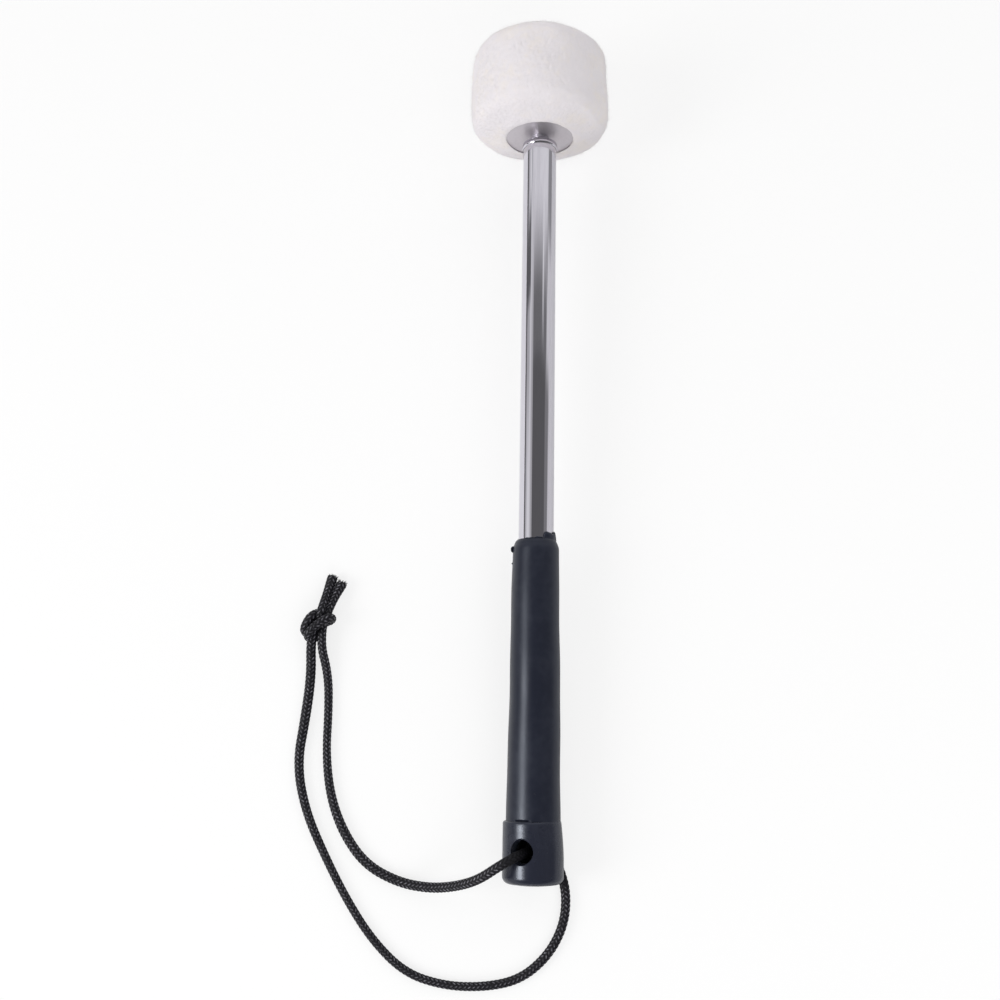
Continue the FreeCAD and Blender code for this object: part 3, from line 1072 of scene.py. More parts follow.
@dataclass(frozen=True)
class Lamp:
    """Soft rectangular lamp that faces the beater, with its power in watts."""

    name: str
    place: Point
    size: Span
    power: float

    def hang(self) -> Piece:
        """Hang the lamp.

        Returns:
            The lamp's object.
        """
        data = bpy.data.lights.new(self.name, "AREA")
        data.shape = "RECTANGLE"
        data.size, data.size_y = self.size
        data.energy = self.power
        lamp = bpy.data.objects.new(self.name, data)
        bpy.context.scene.collection.objects.link(lamp)
        lamp.location = self.place
        lamp.rotation_euler = (-Vector(self.place)).to_track_quat("-Z", "Y").to_euler()
        return lamp


@dataclass
class Studio:
    """Pale floor, soft light and the camera."""

    floor_half: float = 0.8
    camera_place: Point = (-12.031 * MM, -143.433 * MM, 448.867 * MM)
    camera_ahead: Point = (-0.00341, 0.26545, -0.96412)
    camera_up: Point = (-0.01562, 0.96399, 0.26547)
    camera_near: float = 10.0 * MM
    lens: float = 43.2
    sensor: float = 36.0
    bright: float = 0.95
    floor_pale: float = 0.93
    floor_mirrored: float = 0.75
    floor_seen: float = 0.25
    floor_rough: float = 0.9
    floor_shine: float = 0.1
    # painted light: glow of the floor seen in reflections, stronger on the left than on the right
    painted_reflection_glow: Span = (0.34, 0.14)
    seen_glow: float = 0.745
    glow_blend_half: float = 20.0 * MM
    fade: Span = (0.34, 0.75)
    soft_lamps: tuple[Lamp, ...] = (
        Lamp("lamp_left", (-0.95, -0.32, 0.70), (0.5, 0.6), 5.2),
        Lamp("lamp_front", (0.15, -1.25, 0.95), (1.3, 0.8), 6.25),
        Lamp("lamp_fill", (0.75, -0.20, 1.0), (1.2, 1.2), 4.65),
    )
    sheen_lamp: Lamp = Lamp("lamp_sheen", (-0.95, -0.32, 0.78), (0.5, 0.40), 13.0)
    shades: tuple[Shade, ...] = (
        Shade((-0.55, -1.0, 0.08), (0.41, 0.37, 1.0), 0.05, 0.78),
        Shade((0.54, -1.0, 0.08), (0.80, 0.37, 1.0), 0.05, 0.76),
        Shade((-0.55, -1.0, 0.08), (0.76, 0.32, 1.0), 0.05, 0.85),
        Shade((-0.70, -1.0, 0.0), (-0.50, 0.37, 1.0), 0.12, 0.50),
        Shade((0.60, -0.40, 0.05), (0.94, 0.30, 1.0), 0.03, 0.71),
        Shade((-1.0, -0.20, -1.0), (-0.60, 0.60, 0.18), 0.03, 0.80),
        Shade((-1.0, -0.20, -1.0), (-0.72, 0.60, 0.34), 0.12, 0.35),
        Shade((-0.96, 0.345, 0.0), (-0.76, 0.42, 1.0), 0.02, 0.84),
        Shade((-1.0, 0.25, 0.15), (-0.80, 0.39, 0.7), 0.06, 0.42),
        Shade((0.795, 0.395, -1.0), (0.925, 0.60, 1.0), 0.03, 0.62),
        Shade((0.70, 0.345, -1.0), (0.83, 0.40, 1.0), 0.03, 0.56),
        Shade((0.80, 0.0, -1.0), (1.0, 0.42, 1.0), 0.06, 0.14),
        Shade((-0.30, 0.43, 0.0), (0.10, 0.60, 1.0), 0.12, 0.20),
        Shade((-0.74, 0.42, 0.0), (-0.66, 0.60, 1.0), 0.02, 0.35),
        Shade((0.50, -1.0, 0.0), (1.0, 0.14, 0.55), 0.05, 0.80),
    )

    def build(self) -> None:
        """Build the whole studio."""
        self.set_camera()
        self.lay_floor()
        self.light_world()
        for lamp in self.soft_lamps:
            lamp.hang().visible_glossy = False
        self.sheen_lamp.hang().visible_diffuse = False
        bpy.context.scene.view_settings.view_transform = "Standard"

    def set_camera(self) -> None:
        """Set the camera where the photograph was taken from."""
        data = bpy.data.cameras.new("camera")
        data.lens = self.lens
        data.sensor_width = self.sensor
        data.clip_start = self.camera_near
        camera = bpy.data.objects.new("camera", data)
        bpy.context.scene.collection.objects.link(camera)
        back = -Vector(self.camera_ahead).normalized()
        up = Vector(self.camera_up).normalized()
        place = Matrix((up.cross(back), up, back)).transposed().to_4x4()
        place.translation = self.camera_place
        camera.matrix_world = place
        bpy.context.scene.camera = camera

    def lay_floor(self) -> None:
        """Lay the floor, which looks white, takes shadows near the beater, and fades into the backdrop; in
        reflections it has its own colour and a glow that is stronger on the left than on the right, which is
        painted light.
        """
        Bench.clear()
        bpy.ops.mesh.primitive_plane_add(size=2 * self.floor_half)
        floor = bpy.context.object
        floor.name = "floor"
        material = bpy.data.materials.new("floor_white")
        material.use_nodes = True
        board = Board(material.node_tree)
        rays = board.add("LightPath").outputs
        seen = rays["Is Camera Ray"]
        mirrored = board.sum("MAXIMUM", rays["Is Glossy Ray"], rays["Is Transmission Ray"])
        place = board.object_place()
        away = board.add("VectorMath", {0: place}, operation="LENGTH").outputs["Value"]
        faint = board.mix(board.span(away, RISE, self.fade), grey(self.floor_seen), grey(0.0))
        colour = board.mix(mirrored, grey(self.floor_pale), grey(self.floor_mirrored))
        matt = board.add("BsdfPrincipled", {
            "Base Color": board.mix(seen, colour, faint), "Roughness": self.floor_rough,
            "Specular IOR Level": self.floor_shine,
        })
        # painted light in reflections: the floor glows more on its left than on its right
        across = board.add("SeparateXYZ", {0: place}).outputs[0]
        sides = board.span(across, self.painted_reflection_glow, (-self.glow_blend_half, self.glow_blend_half))
        near = board.span(away, (self.seen_glow, 1.0), self.fade)
        strength = board.sum("ADD", board.sum("MULTIPLY", seen, near), board.sum("MULTIPLY", mirrored, sides))
        glow = board.add("Emission", {"Strength": strength})
        both = board.add("AddShader", {0: matt.outputs[0], 1: glow.outputs[0]})
        board.add("OutputMaterial", {"Surface": both.outputs[0]})
        floor.data.materials.append(material)

    def light_world(self) -> None:
        """Light the room all round, apart from its dim parts, before a white backdrop."""
        world = bpy.data.worlds.new("studio")
        bpy.context.scene.world = world
        world.use_nodes = True
        board = Board(world.node_tree)
        direction = board.add("TexCoord").outputs["Generated"]
        way = board.add("SeparateXYZ", {0: direction}).outputs
        dim: Any = 0.0
        for shade in self.shades:
            dim = board.sum("MAXIMUM", dim, shade.mask(board, way))
        room = board.add("Background", {"Color": board.mix(dim, grey(self.bright), grey(0.0))})
        white = board.add("Background", {"Color": grey(1.0)})
        seen = board.add("LightPath").outputs["Is Camera Ray"]
        light = board.add("MixShader", {0: seen, 1: room.outputs[0], 2: white.outputs[0]})
        board.add("OutputWorld", {"Surface": light.outputs[0]})


@dataclass
class Braid:
    """Braided cord: strands wound both ways, each over two and under two.

    Attributes:
        carriers: Strands wound each way.
        over: Strands that one strand passes over, and then under.
        step: Length of the cord from one strand to the next.
        sunk: Share of the strands' relief that lies inside the radius.
        dip: Height at which a strand goes under, as a share.
        lay_steps: Steps of the filaments' pattern along a strand, to the next strand, and to the other way.
        flare_run: Length over which a cut end loosens.
        end_round: How far a cut end is rounded off, as a share.
    """

    radius: float = 1.6 * MM
    carriers: int = 8
    over: int = 2
    step: float = 1.55 * MM
    relief: float = 0.34 * MM
    sunk: float = 0.6
    dip: float = 0.45
    sides: int = 48
    resolution: int = 64
    filaments: float = 9.0
    lay_steps: Triple = (0.8, 7.3, 31.0)
    flare_run: float = 9.0 * MM
    end_round: float = 0.9
    # share of the strand height that is kept inside the hole: painted shade
    hole_shade_share: float = 0.55
    steep: float = 0.9

    def route(self, name: str, points: Sequence[Sequence[float]]) -> list[Vector]:
        """Smooth line of a cord, read from a NURBS spline.

        Args:
            name: Name of the spline while it is read.
            points: Control points of the spline.

        Returns:
            Points along the line.
        """
        data = bpy.data.curves.new(name, "CURVE")
        data.dimensions = "3D"
        data.resolution_u = self.resolution
        spline = data.splines.new("NURBS")
        spline.points.add(len(points) - 1)
        for point, place in zip(spline.points, points):
            point.co = (*place, 1.0)
        spline.order_u = 3
        spline.use_endpoint_u = True
        holder = bpy.data.objects.new(name, data)
        bpy.context.scene.collection.objects.link(holder)
        bpy.context.view_layer.update()
        line = bpy.data.meshes.new_from_object(holder.evaluated_get(bpy.context.evaluated_depsgraph_get()))
        places = [vertex.co.copy() for vertex in line.vertices]
        bpy.data.objects.remove(holder)
        bpy.data.curves.remove(data)
        bpy.data.meshes.remove(line)
        return places

    def relief_at(self, turn: np.ndarray, run: np.ndarray) -> tuple[np.ndarray, np.ndarray]:
        """Height and lay of the strands at places on the cord.

        Args:
            turn: Place round the cord, in turns.
            run: Place along the cord.

        Returns:
            Height from 0 to 1, and coordinates along and across the strand on top.
        """
        one = self.carriers * turn + run / self.step
        two = self.carriers * turn - run / self.step
        row = np.floor(one) + np.floor(two)
        first_on_top = np.mod(row, 2 * self.over) < self.over
        across = np.where(first_on_top, one, two)
        along = np.where(first_on_top, two, one)
        beside = np.where(first_on_top, np.floor(one), np.floor(two))
        begin = np.where(first_on_top, -beside, self.over - beside)
        float_share = np.mod(along - begin, 2 * self.over) / self.over
        dome = np.sqrt(np.clip(1.0 - (2.0 * (across - beside) - 1.0) ** 2, 0.0, 1.0))
        bow = np.sqrt(np.clip(np.sin(math.pi * np.clip(float_share, 0.0, 1.0)), 0.0, 1.0))
        height = dome * (self.dip + (1.0 - self.dip) * bow)
        along_step, beside_step, over_step = self.lay_steps
        strand = beside * beside_step + first_on_top * over_step
        return height, np.stack([across * self.filaments, along * along_step, strand], axis=-1)

    def directions(self, line: np.ndarray) -> tuple[np.ndarray, np.ndarray]:
        """Two directions across a line at each of its points, which turn with it as little as can be.

        Args:
            line: Points along the line.

        Returns:
            Sideways and upward directions.
        """
        ahead = np.gradient(line, axis=0)
        ahead /= np.linalg.norm(ahead, axis=1, keepdims=True)
        side = np.zeros_like(line)
        side[0] = np.cross(ahead[0], (0.0, 0.0, 1.0) if abs(ahead[0][2]) < self.steep else (1.0, 0.0, 0.0))
        for ring in range(1, len(line)):
            side[ring] = side[ring - 1] - ahead[ring] * np.dot(side[ring - 1], ahead[ring])
            side[ring] /= np.linalg.norm(side[ring])
        side[0] /= np.linalg.norm(side[0])
        return side, np.cross(ahead, side)

    def tube(self, name: str, path: Sequence[Vector], rounding: float = 0.0, flare: float = 0.0,
             fullness: Outline = ((0.0, 1.0), (1.0, 1.0)), hidden: Span | None = None) -> Piece:
        """Braided tube along a line.

        Args:
            name: Name of the piece.
            path: Points that it follows.
            rounding: Length over which its far end is rounded off.
            flare: Share by which it loosens and widens towards a cut end.
            fullness: Places along it, as shares, and its thickness there, as a share.
            hidden: Lengths along it between which it comes out of a hole; before that, its stored strand
                height is lowered, which darkens its strands as painted shade in the hole.

        Returns:
            The piece, with the strands' height and lay stored on its points.
        """
        line = np.array([tuple(place) for place in path])
        side, above = self.directions(line)
        run = np.concatenate([[0.0], np.cumsum(np.linalg.norm(np.diff(line, axis=0), axis=1))])
        turn, length = np.meshgrid(np.arange(self.sides) / self.sides, run)
        height, lay = self.relief_at(turn, length)
        reach = self.radius - self.sunk * self.relief + self.relief * height
        reach *= np.interp(run / run[-1], *zip(*fullness))[:, None]
        if rounding:
            left = np.clip((run[-1] - run) / rounding, 0.0, 1.0)
            loose = np.clip(1.0 - (run[-1] - run) / self.flare_run, 0.0, 1.0)
            shape = np.sqrt(np.clip(1.0 - self.end_round * (1.0 - left) ** 2, 0.0, 1.0))
            reach = reach * (shape * (1.0 + flare * loose ** 2 * (3.0 - 2.0 * loose)))[:, None]
        angle = math.tau * turn
        places = (line[:, None] + side[:, None] * (reach * np.cos(angle))[..., None]
                  + above[:, None] * (reach * np.sin(angle))[..., None])
        faces = [tuple(reversed(range(self.sides)))]
        for ring in range(len(line) - 1):
            low = ring * self.sides
            for place in range(self.sides):
                after = (place + 1) % self.sides
                faces.append((low + place, low + after, low + self.sides + after, low + self.sides + place))
        faces.append(tuple((len(line) - 1) * self.sides + place for place in range(self.sides)))
        piece = Bench.mesh(name, places.reshape(-1, 3), faces)
        # painted shade: the strands are darkened where the cord lies in the hole
        if hidden:
            height = height * np.interp(length, hidden, (self.hole_shade_share, 1.0))
        Bench.mark(piece, "crown", height)
        thread = piece.data.attributes.new("lay", "FLOAT_VECTOR", "POINT")
        thread.data.foreach_set("vector", lay.ravel().astype(np.float32))
        return piece


@dataclass(frozen=True)
class Fray:
    """Loose yarn ends round a cut, with their least and greatest length in millimetres."""

    count: int = 70
    spread: Span = (0.05, 0.95)
    inset: float = 0.85
    sunk: float = 1.2 * MM
    lean: Span = (0.0, 0.3)
    length: Span = (1.2, 2.1)
    width: float = 0.34 * MM
    joints: int = 3
    sides: int = 5
    curl: float = 0.2
    # crown heights drawn at random, which give some yarn ends the braid's painted highlight
    crown: Span = (0.45, 0.95)

    def grow(self, name: str, ends: Sequence[Sequence[float]], radius: float, seed: int) -> Piece:
        """Grow the yarn ends.

        Args:
            name: Name of the piece.
            ends: Last two points of the cord's route, of which the second is the cut.
            radius: Radius of the cord at the cut.
            seed: Seed of the draws.

        Returns:
            One piece with all the ends.
        """
        draw = np.random.default_rng(seed)
        way = (Vector(ends[1]) - Vector(ends[0])).normalized()
        turn = draw.uniform(0.0, math.tau, self.count)
        reach = radius * np.sqrt(draw.uniform(*self.spread, self.count))
        side = np.array(way.cross(Vector((0.0, 0.0, 1.0))).normalized())
        above = np.array(way.cross(Vector(side)))
        out = side * np.cos(turn)[:, None] + above * np.sin(turn)[:, None]
        roots = np.array(Vector(ends[1])) - np.array(way) * self.sunk + out * (reach * self.inset)[:, None]
        ways = np.array(way) + out * draw.uniform(*self.lean, self.count)[:, None]
        ways /= np.linalg.norm(ways, axis=1, keepdims=True)
        lengths = draw.uniform(*self.length, self.count) * MM
        made = Bristles(self.width, seed, self.joints, self.sides).grow(name, roots, ways, lengths, self.curl)
        # the stored crown heights give some yarn ends the braid's painted highlight
        Bench.mark(made, "crown", draw.uniform(*self.crown, len(made.data.vertices)))
        return made


@dataclass(frozen=True)
class Tail:
    """Cut tail of the cord, with its route as steps from the knot's middle and the seed of its fray."""

    name: str
    replaced: str
    steps: tuple[Point, ...]
    rounding: float
    seed: int


@dataclass
class WristCord:
    """Wrist cord: two legs from the cap's hole to a knot, and two cut tails.

    Routes are in millimetres across from the shaft, along from the cord hole and over the floor.
    """

    braid: Braid
    finish: Finish
    fray: Fray = Fray()
    axis_height: float = 12.25
    hole_turn: float = 27.0
    shaft_tilt: float = 3.0873
    inner_reach: float = 4.0
    front_bend_reach: float = 11.8
    floor_reach: float = 11.97
    mouth_drop: float = 1.4
    held_to: float = -3.0
    free_from: float = -30.0
    knot_place: Point = (-80.5, 79.8, 4.9)
    knot_heading: float = 80.0
    strand_offset: float = 1.65
    entry_run: float = 6.0
    knot_reach: float = 2.5
    tail_flare: float = 0.2
    # run of the legs over which the painted shade in the hole fades out
    hole_shade: Span = (15.0 * MM, 23.0 * MM)
    front_fullness: Outline = ((0.0, 1.0), (0.55, 1.03), (0.72, 0.88), (0.9, 0.95), (1.0, 1.0))
    back_fullness: Outline = (
        (0.0, 1.0), (0.2, 0.97), (0.35, 0.86), (0.6, 0.88), (0.75, 1.0), (0.85, 1.1), (1.0, 1.05),
    )
    front_length: float = 173.0 * MM
    back_length: float = 235.2 * MM
    front_route: tuple[Point, ...] = (
        (-11.6, -5.4, 24.0), (-18.8, -10.3, 19.4), (-26.8, -12.9, 11.6), (-36.5, -13.9, 4.8),
        (-47.9, -12.1, 1.6), (-59.6, -6.2, 1.6), (-67.8, 4.3, 1.6), (-73.2, 17.0, 1.6),
        (-75.6, 32.0, 1.6), (-75.5, 48.0, 1.6), (-76.3, 61.0, 1.6),
    )
    back_route: tuple[Point, ...] = (
        (10.0, -6.6, 1.6), (12.4, -15.8, 1.6), (11.2, -26.2, 1.6), (5.6, -36.2, 1.6),
        (-4.0, -43.9, 1.6), (-16.5, -46.5, 1.6), (-30.5, -46.2, 1.6), (-44.2, -42.2, 1.6),
        (-55.8, -31.8, 1.6), (-65.2, -18.9, 1.6), (-73.9, -4.0, 1.6), (-82.0, 11.9, 1.6),
        (-86.0, 28.5, 1.6), (-83.9, 45.0, 1.6), (-82.6, 60.5, 1.6),
    )
    tails: tuple[Tail, Tail] = (
        Tail("tail_left", "cord_tail_left", (
            (-0.4, 0.6, 0.2), (0.7, 3.2, 1.7), (1.4, 6.2, 1.2), (2.6, 11.8, -0.8), (4.1, 18.0, -2.2),
        ), 0.3 * MM, 41),
        Tail("tail_right", "cord_tail_right", (
            (1.2, -0.8, 0.0), (2.6, 2.4, 0.1), (3.8, 6.0, -0.3), (5.7, 11.2, -1.4), (7.9, 15.9, -2.3),
        ), 0.9 * MM, 43),
    )
    outer_wrap: tuple[Point, ...] = (
        (1.5, -2.0, -3.3), (-2.0, -3.6, -3.3), (-4.5, -4.0, -2.6), (-5.3, -2.5, 0.2), (-4.0, -0.2, 2.5),
        (-2.6, 2.0, 2.4), (-1.2, 3.4, 0.6), (0.2, 3.8, -1.6), (2.0, 3.2, -3.2),
    )
    inner_wrap: tuple[Point, ...] = (
        (1.5, -3.6, -3.3), (-1.6, -5.4, -3.2), (-3.8, -5.6, -0.6), (-3.2, -4.2, 2.8), (-0.6, -1.7, 3.6),
        (2.1, 0.3, 3.5), (4.2, 1.5, 2.6), (5.0, 1.8, 0.0), (4.2, 1.2, -2.4), (1.5, 0.6, -3.3),
    )
    hole: Vector = field(init=False)

    def __post_init__(self) -> None:
        """Find the hole's middle from the joint that the cord swings on."""
        self.hole = Vector(joint_named("cord_swing")["pos_m"])

    def place(self, across: float, along: float, height: float) -> Point:
        """Point of a route in the row frame."""
        return (across * MM, self.hole.y + along * MM, height * MM)

    def in_hole(self, reach: float) -> Point:
        """Point on the hole's axis.

        Args:
            reach: Millimetres from the hole's middle towards the mouth that faces up.

        Returns:
            The point in the row frame.
        """
        turn, tilt = math.radians(self.hole_turn), math.radians(self.shaft_tilt)
        way = (-math.sin(turn), -math.cos(turn) * math.sin(tilt), math.cos(turn) * math.cos(tilt))
        return self.place(way[0] * reach, way[1] * reach, self.axis_height + way[2] * reach)

    def strand(self, side: int, run: float) -> Point:
        """Point on one of the two strands in the knot.

        Args:
            side: 1 for the front leg's strand, -1 for the back leg's.
            run: Millimetres past the knot's middle.

        Returns:
            The point in the row frame.
        """
        turn = math.radians(self.knot_heading)
        across, along, height = self.knot_place
        offset = side * self.strand_offset
        return self.place(across + math.sin(turn) * offset + math.cos(turn) * run,
                          along - math.cos(turn) * offset + math.sin(turn) * run, height)

    def in_knot(self, steps: Sequence[Point]) -> list[Point]:
        """Points of the row frame from steps across, along and over the knot's middle."""
        across, along, height = self.knot_place
        return [self.place(across + right, along + ahead, height + over) for right, ahead, over in steps]

    def leg_points(self, start: Sequence[Point], route: Sequence[Point], side: int) -> list[Point]:
        """Control points of one leg.

        Args:
            start: Points in the hole and at its mouth.
            route: Places from there to the knot.
            side: Which strand of the knot it ends in.

        Returns:
            The points in the row frame.
        """
        ends = [self.strand(side, run) for run in (-self.entry_run, self.knot_reach)]
        return [*start, *(self.place(*step) for step in route), *ends]

    def build(self) -> None:
        """Build the knot, the tails and the legs."""
        outer = self.piece("knot_wrap", self.in_knot(self.outer_wrap), ["cord_knot"])
        inner = self.piece("knot_band", self.in_knot(self.inner_wrap), [])
        left, right = [self.make_tail(tail) for tail in self.tails]
        start = self.in_hole(-self.inner_reach)
        across, along, height = self.in_hole(self.front_bend_reach)
        mouth = (across, along - self.mouth_drop * MM, height)
        front = self.leg_points([start, mouth], self.front_route, 1)
        back = self.leg_points([start, self.in_hole(-self.floor_reach)], self.back_route, -1)
        bend = [self.place(reach, 0.0, self.axis_height) for reach in (self.held_to, self.free_from)]
        self.leg("cord_front", front, ["cord_front_leg", "cord_in_cap"],
                 self.front_fullness, bend)
        self.leg("cord_back", back, ["cord_back_leg"], self.back_fullness)

    def piece(self, name: str, points: Sequence[Point], replaced: Sequence[str],
              rounding: float = 0.0, flare: float = 0.0) -> Piece:
        """One braided piece that rides with the knot.

        Args:
            name: Name of the piece.
            points: Its route's control points.
            replaced: Solids that it stands for.
            rounding: Length over which its far end is rounded off.
            flare: Share by which it widens towards a cut end.

        Returns:
            The piece.
        """
        made = self.braid.tube(name, self.braid.route(name + "_line", points), rounding, flare)
        settle(made, self.finish, Body.CORD, replaced)
        return made

    def leg(self, name: str, points: Sequence[Point], replaced: Sequence[str],
            fullness: Outline, bend: Sequence[Point] = ()) -> None:
        """One leg of the loop.

        Args:
            name: Name of the piece.
            points: Its route's control points.
            replaced: Solids that it stands for.
            fullness: Places along it and its thickness there, as shares.
            bend: Places between which it leaves the cap that holds it.
        """
        path = self.braid.route(name + "_line", points)
        made = self.braid.tube(name, path, fullness=fullness, hidden=self.hole_shade)
        settle(made, self.finish, Body.CORD, replaced, bend)

    def make_tail(self, tail: Tail) -> list[Piece]:
        """One cut tail with its frayed yarn.

        Args:
            tail: Its names, route and end.

        Returns:
            The tail's piece and its fray.
        """
        points = self.in_knot(tail.steps)
        made = self.piece(tail.name, points, [tail.replaced], tail.rounding, self.tail_flare)
        radius = self.braid.radius * (1.0 + self.tail_flare)
        fray = self.fray.grow(tail.name + "_fray", points[-2:], radius, tail.seed)
        settle(fray, self.finish, Body.CORD)
        return [made, fray]


@dataclass(frozen=True)
class Nicks:
    """Short nicks in the sides of the felt, with their length, width and depth in millimetres."""

    count: int = 46
    seed: int = 17
    ends: Span = (5.0 * MM, 4.0 * MM)
    lean: float = 0.7
    length: Span = (0.7, 1.5)
    width: Span = (0.4, 0.6)
    depth: Span = (0.12, 0.36)
    brow_place: float = 2.0
    brow_share: float = 0.6

    def cut(self, places: np.ndarray, span: np.ndarray, turn: np.ndarray, outer: np.ndarray, reach: Span,
            radius: float) -> None:
        """Cut the nicks into the felt.

        Args:
            places: Points of the felt, which are moved.
            span: Distance of each point from the axis.
            turn: Turn of each point about the axis, in degrees.
            outer: Which points lie on the outside.
            reach: Stations of the felt's base and crown.
            radius: Radius of the felt.
        """
        draw = np.random.default_rng(self.seed)
        for _ in range(self.count):
            away = np.mod(turn - draw.uniform(-HALF_TURN, HALF_TURN) + HALF_TURN, 2 * HALF_TURN) - HALF_TURN
            beside = np.radians(away) * radius
            along = places[:, 2] - draw.uniform(reach[0] + self.ends[0], reach[1] - self.ends[1])
            lean = draw.normal(0.0, self.lean)
            run = along * math.cos(lean) + beside * math.sin(lean)
            aside = beside * math.cos(lean) - along * math.sin(lean)
            length, width = draw.uniform(*self.length) * MM, draw.uniform(*self.width) * MM
            pit = np.exp(-(run / length) ** 2 - (aside / width) ** 2)
            brow = np.exp(-(run / length) ** 2 - ((aside - self.brow_place * width) / width) ** 2)
            depth = draw.uniform(*self.depth) * MM
            pressed = outer * depth * (pit - self.brow_share * brow)
            places[:, :2] *= (1.0 - pressed / np.maximum(span, MM))[:, None]


@dataclass(frozen=True)
class Drape:
    """Cloth simulation that draws the felt unevenly over its padding, no point further than its cap."""

    seed: int = 7
    waves: int = 12
    wave_rate: float = 160.0
    quality: int = 4
    tension: float = 30.0
    bending: float = 4.0
    shrink: Span = (-0.015, 0.03)
    pressure: float = 2.0
    frames: int = 12
    cap: float = 0.4 * MM

    def pull(self, shell: Piece, still: np.ndarray) -> None:
        """Let the felt pull in.

        Args:
            shell: Felt shell, whose points are moved.
            still: Which of its points are held.
        """
        start = Bench.points(shell)
        draw = np.random.default_rng(self.seed)
        held = shell.vertex_groups.new(name="held")
        slack = shell.vertex_groups.new(name="slack")
        for index in np.flatnonzero(still):
            held.add([int(index)], 1.0, "REPLACE")
        waves = draw.normal(size=(self.waves, 3)) * self.wave_rate
        phases = draw.uniform(0.0, math.tau, self.waves)
        cloud = np.sin(start @ waves.T + phases).mean(axis=1)
        for index, value in enumerate(np.clip(0.5 + cloud, 0.0, 1.0)):
            slack.add([index], float(value), "REPLACE")
        cloth = shell.modifiers.new("cloth", "CLOTH")
        cloth.settings.quality = self.quality
        cloth.settings.tension_stiffness = self.tension
        cloth.settings.bending_stiffness = self.bending
        cloth.settings.vertex_group_mass = "held"
        cloth.settings.vertex_group_shrink = "slack"
        cloth.settings.shrink_min, cloth.settings.shrink_max = self.shrink
        cloth.settings.use_pressure = True
        cloth.settings.uniform_pressure_force = self.pressure
        cloth.settings.effector_weights.gravity = 0.0
        cloth.collision_settings.use_collision = False
        scene = bpy.context.scene
        for step in range(1, self.frames + 1):
            scene.frame_set(step)
        Bench.apply(shell, cloth)
        scene.frame_set(1)
        moved = Bench.points(shell) - start
        far = np.linalg.norm(moved, axis=1, keepdims=True)
        Bench.set_points(shell, start + moved * np.minimum(1.0, self.cap / np.maximum(far, TINY)))


@dataclass(frozen=True)
class Fuzz:
    """Loose fibres that stand off the felt."""

    count: int = 13000
    length: Span = (0.4 * MM, 1.3 * MM)
    width: float = 0.075 * MM
    scatter: float = 0.25 * MM
    sunk: float = 0.15 * MM
    lean: float = 0.75
    least_rise: float = 0.25
    curl: float = 0.35
    joints: int = 2
    seeds: tuple[int, int] = (11, 13)

    def grow(self, name: str, centres: np.ndarray, normals: np.ndarray, areas: np.ndarray) -> Piece:
        """Grow the fibres.

        Args:
            name: Name of the piece.
            centres: Middles of the felt's faces.
            normals: Their normals.
            areas: Their areas, or zero where no fibre stands.

        Returns:
            One piece with all the fibres.
        """
        draw = np.random.default_rng(self.seeds[0])
        chosen = draw.choice(len(areas), self.count, p=areas / areas.sum())
        normals = normals[chosen]
        roots = centres[chosen] + draw.normal(0.0, self.scatter, (self.count, 3)) - normals * self.sunk
        ways = normals + draw.normal(0.0, self.lean, (self.count, 3))
        ways += normals * np.maximum(0.0, self.least_rise - np.sum(ways * normals, axis=1))[:, None]
        ways /= np.linalg.norm(ways, axis=1, keepdims=True)
        lengths = draw.uniform(*self.length, self.count)
        return Bristles(self.width, self.seeds[1], self.joints).grow(name, roots, ways, lengths, self.curl)


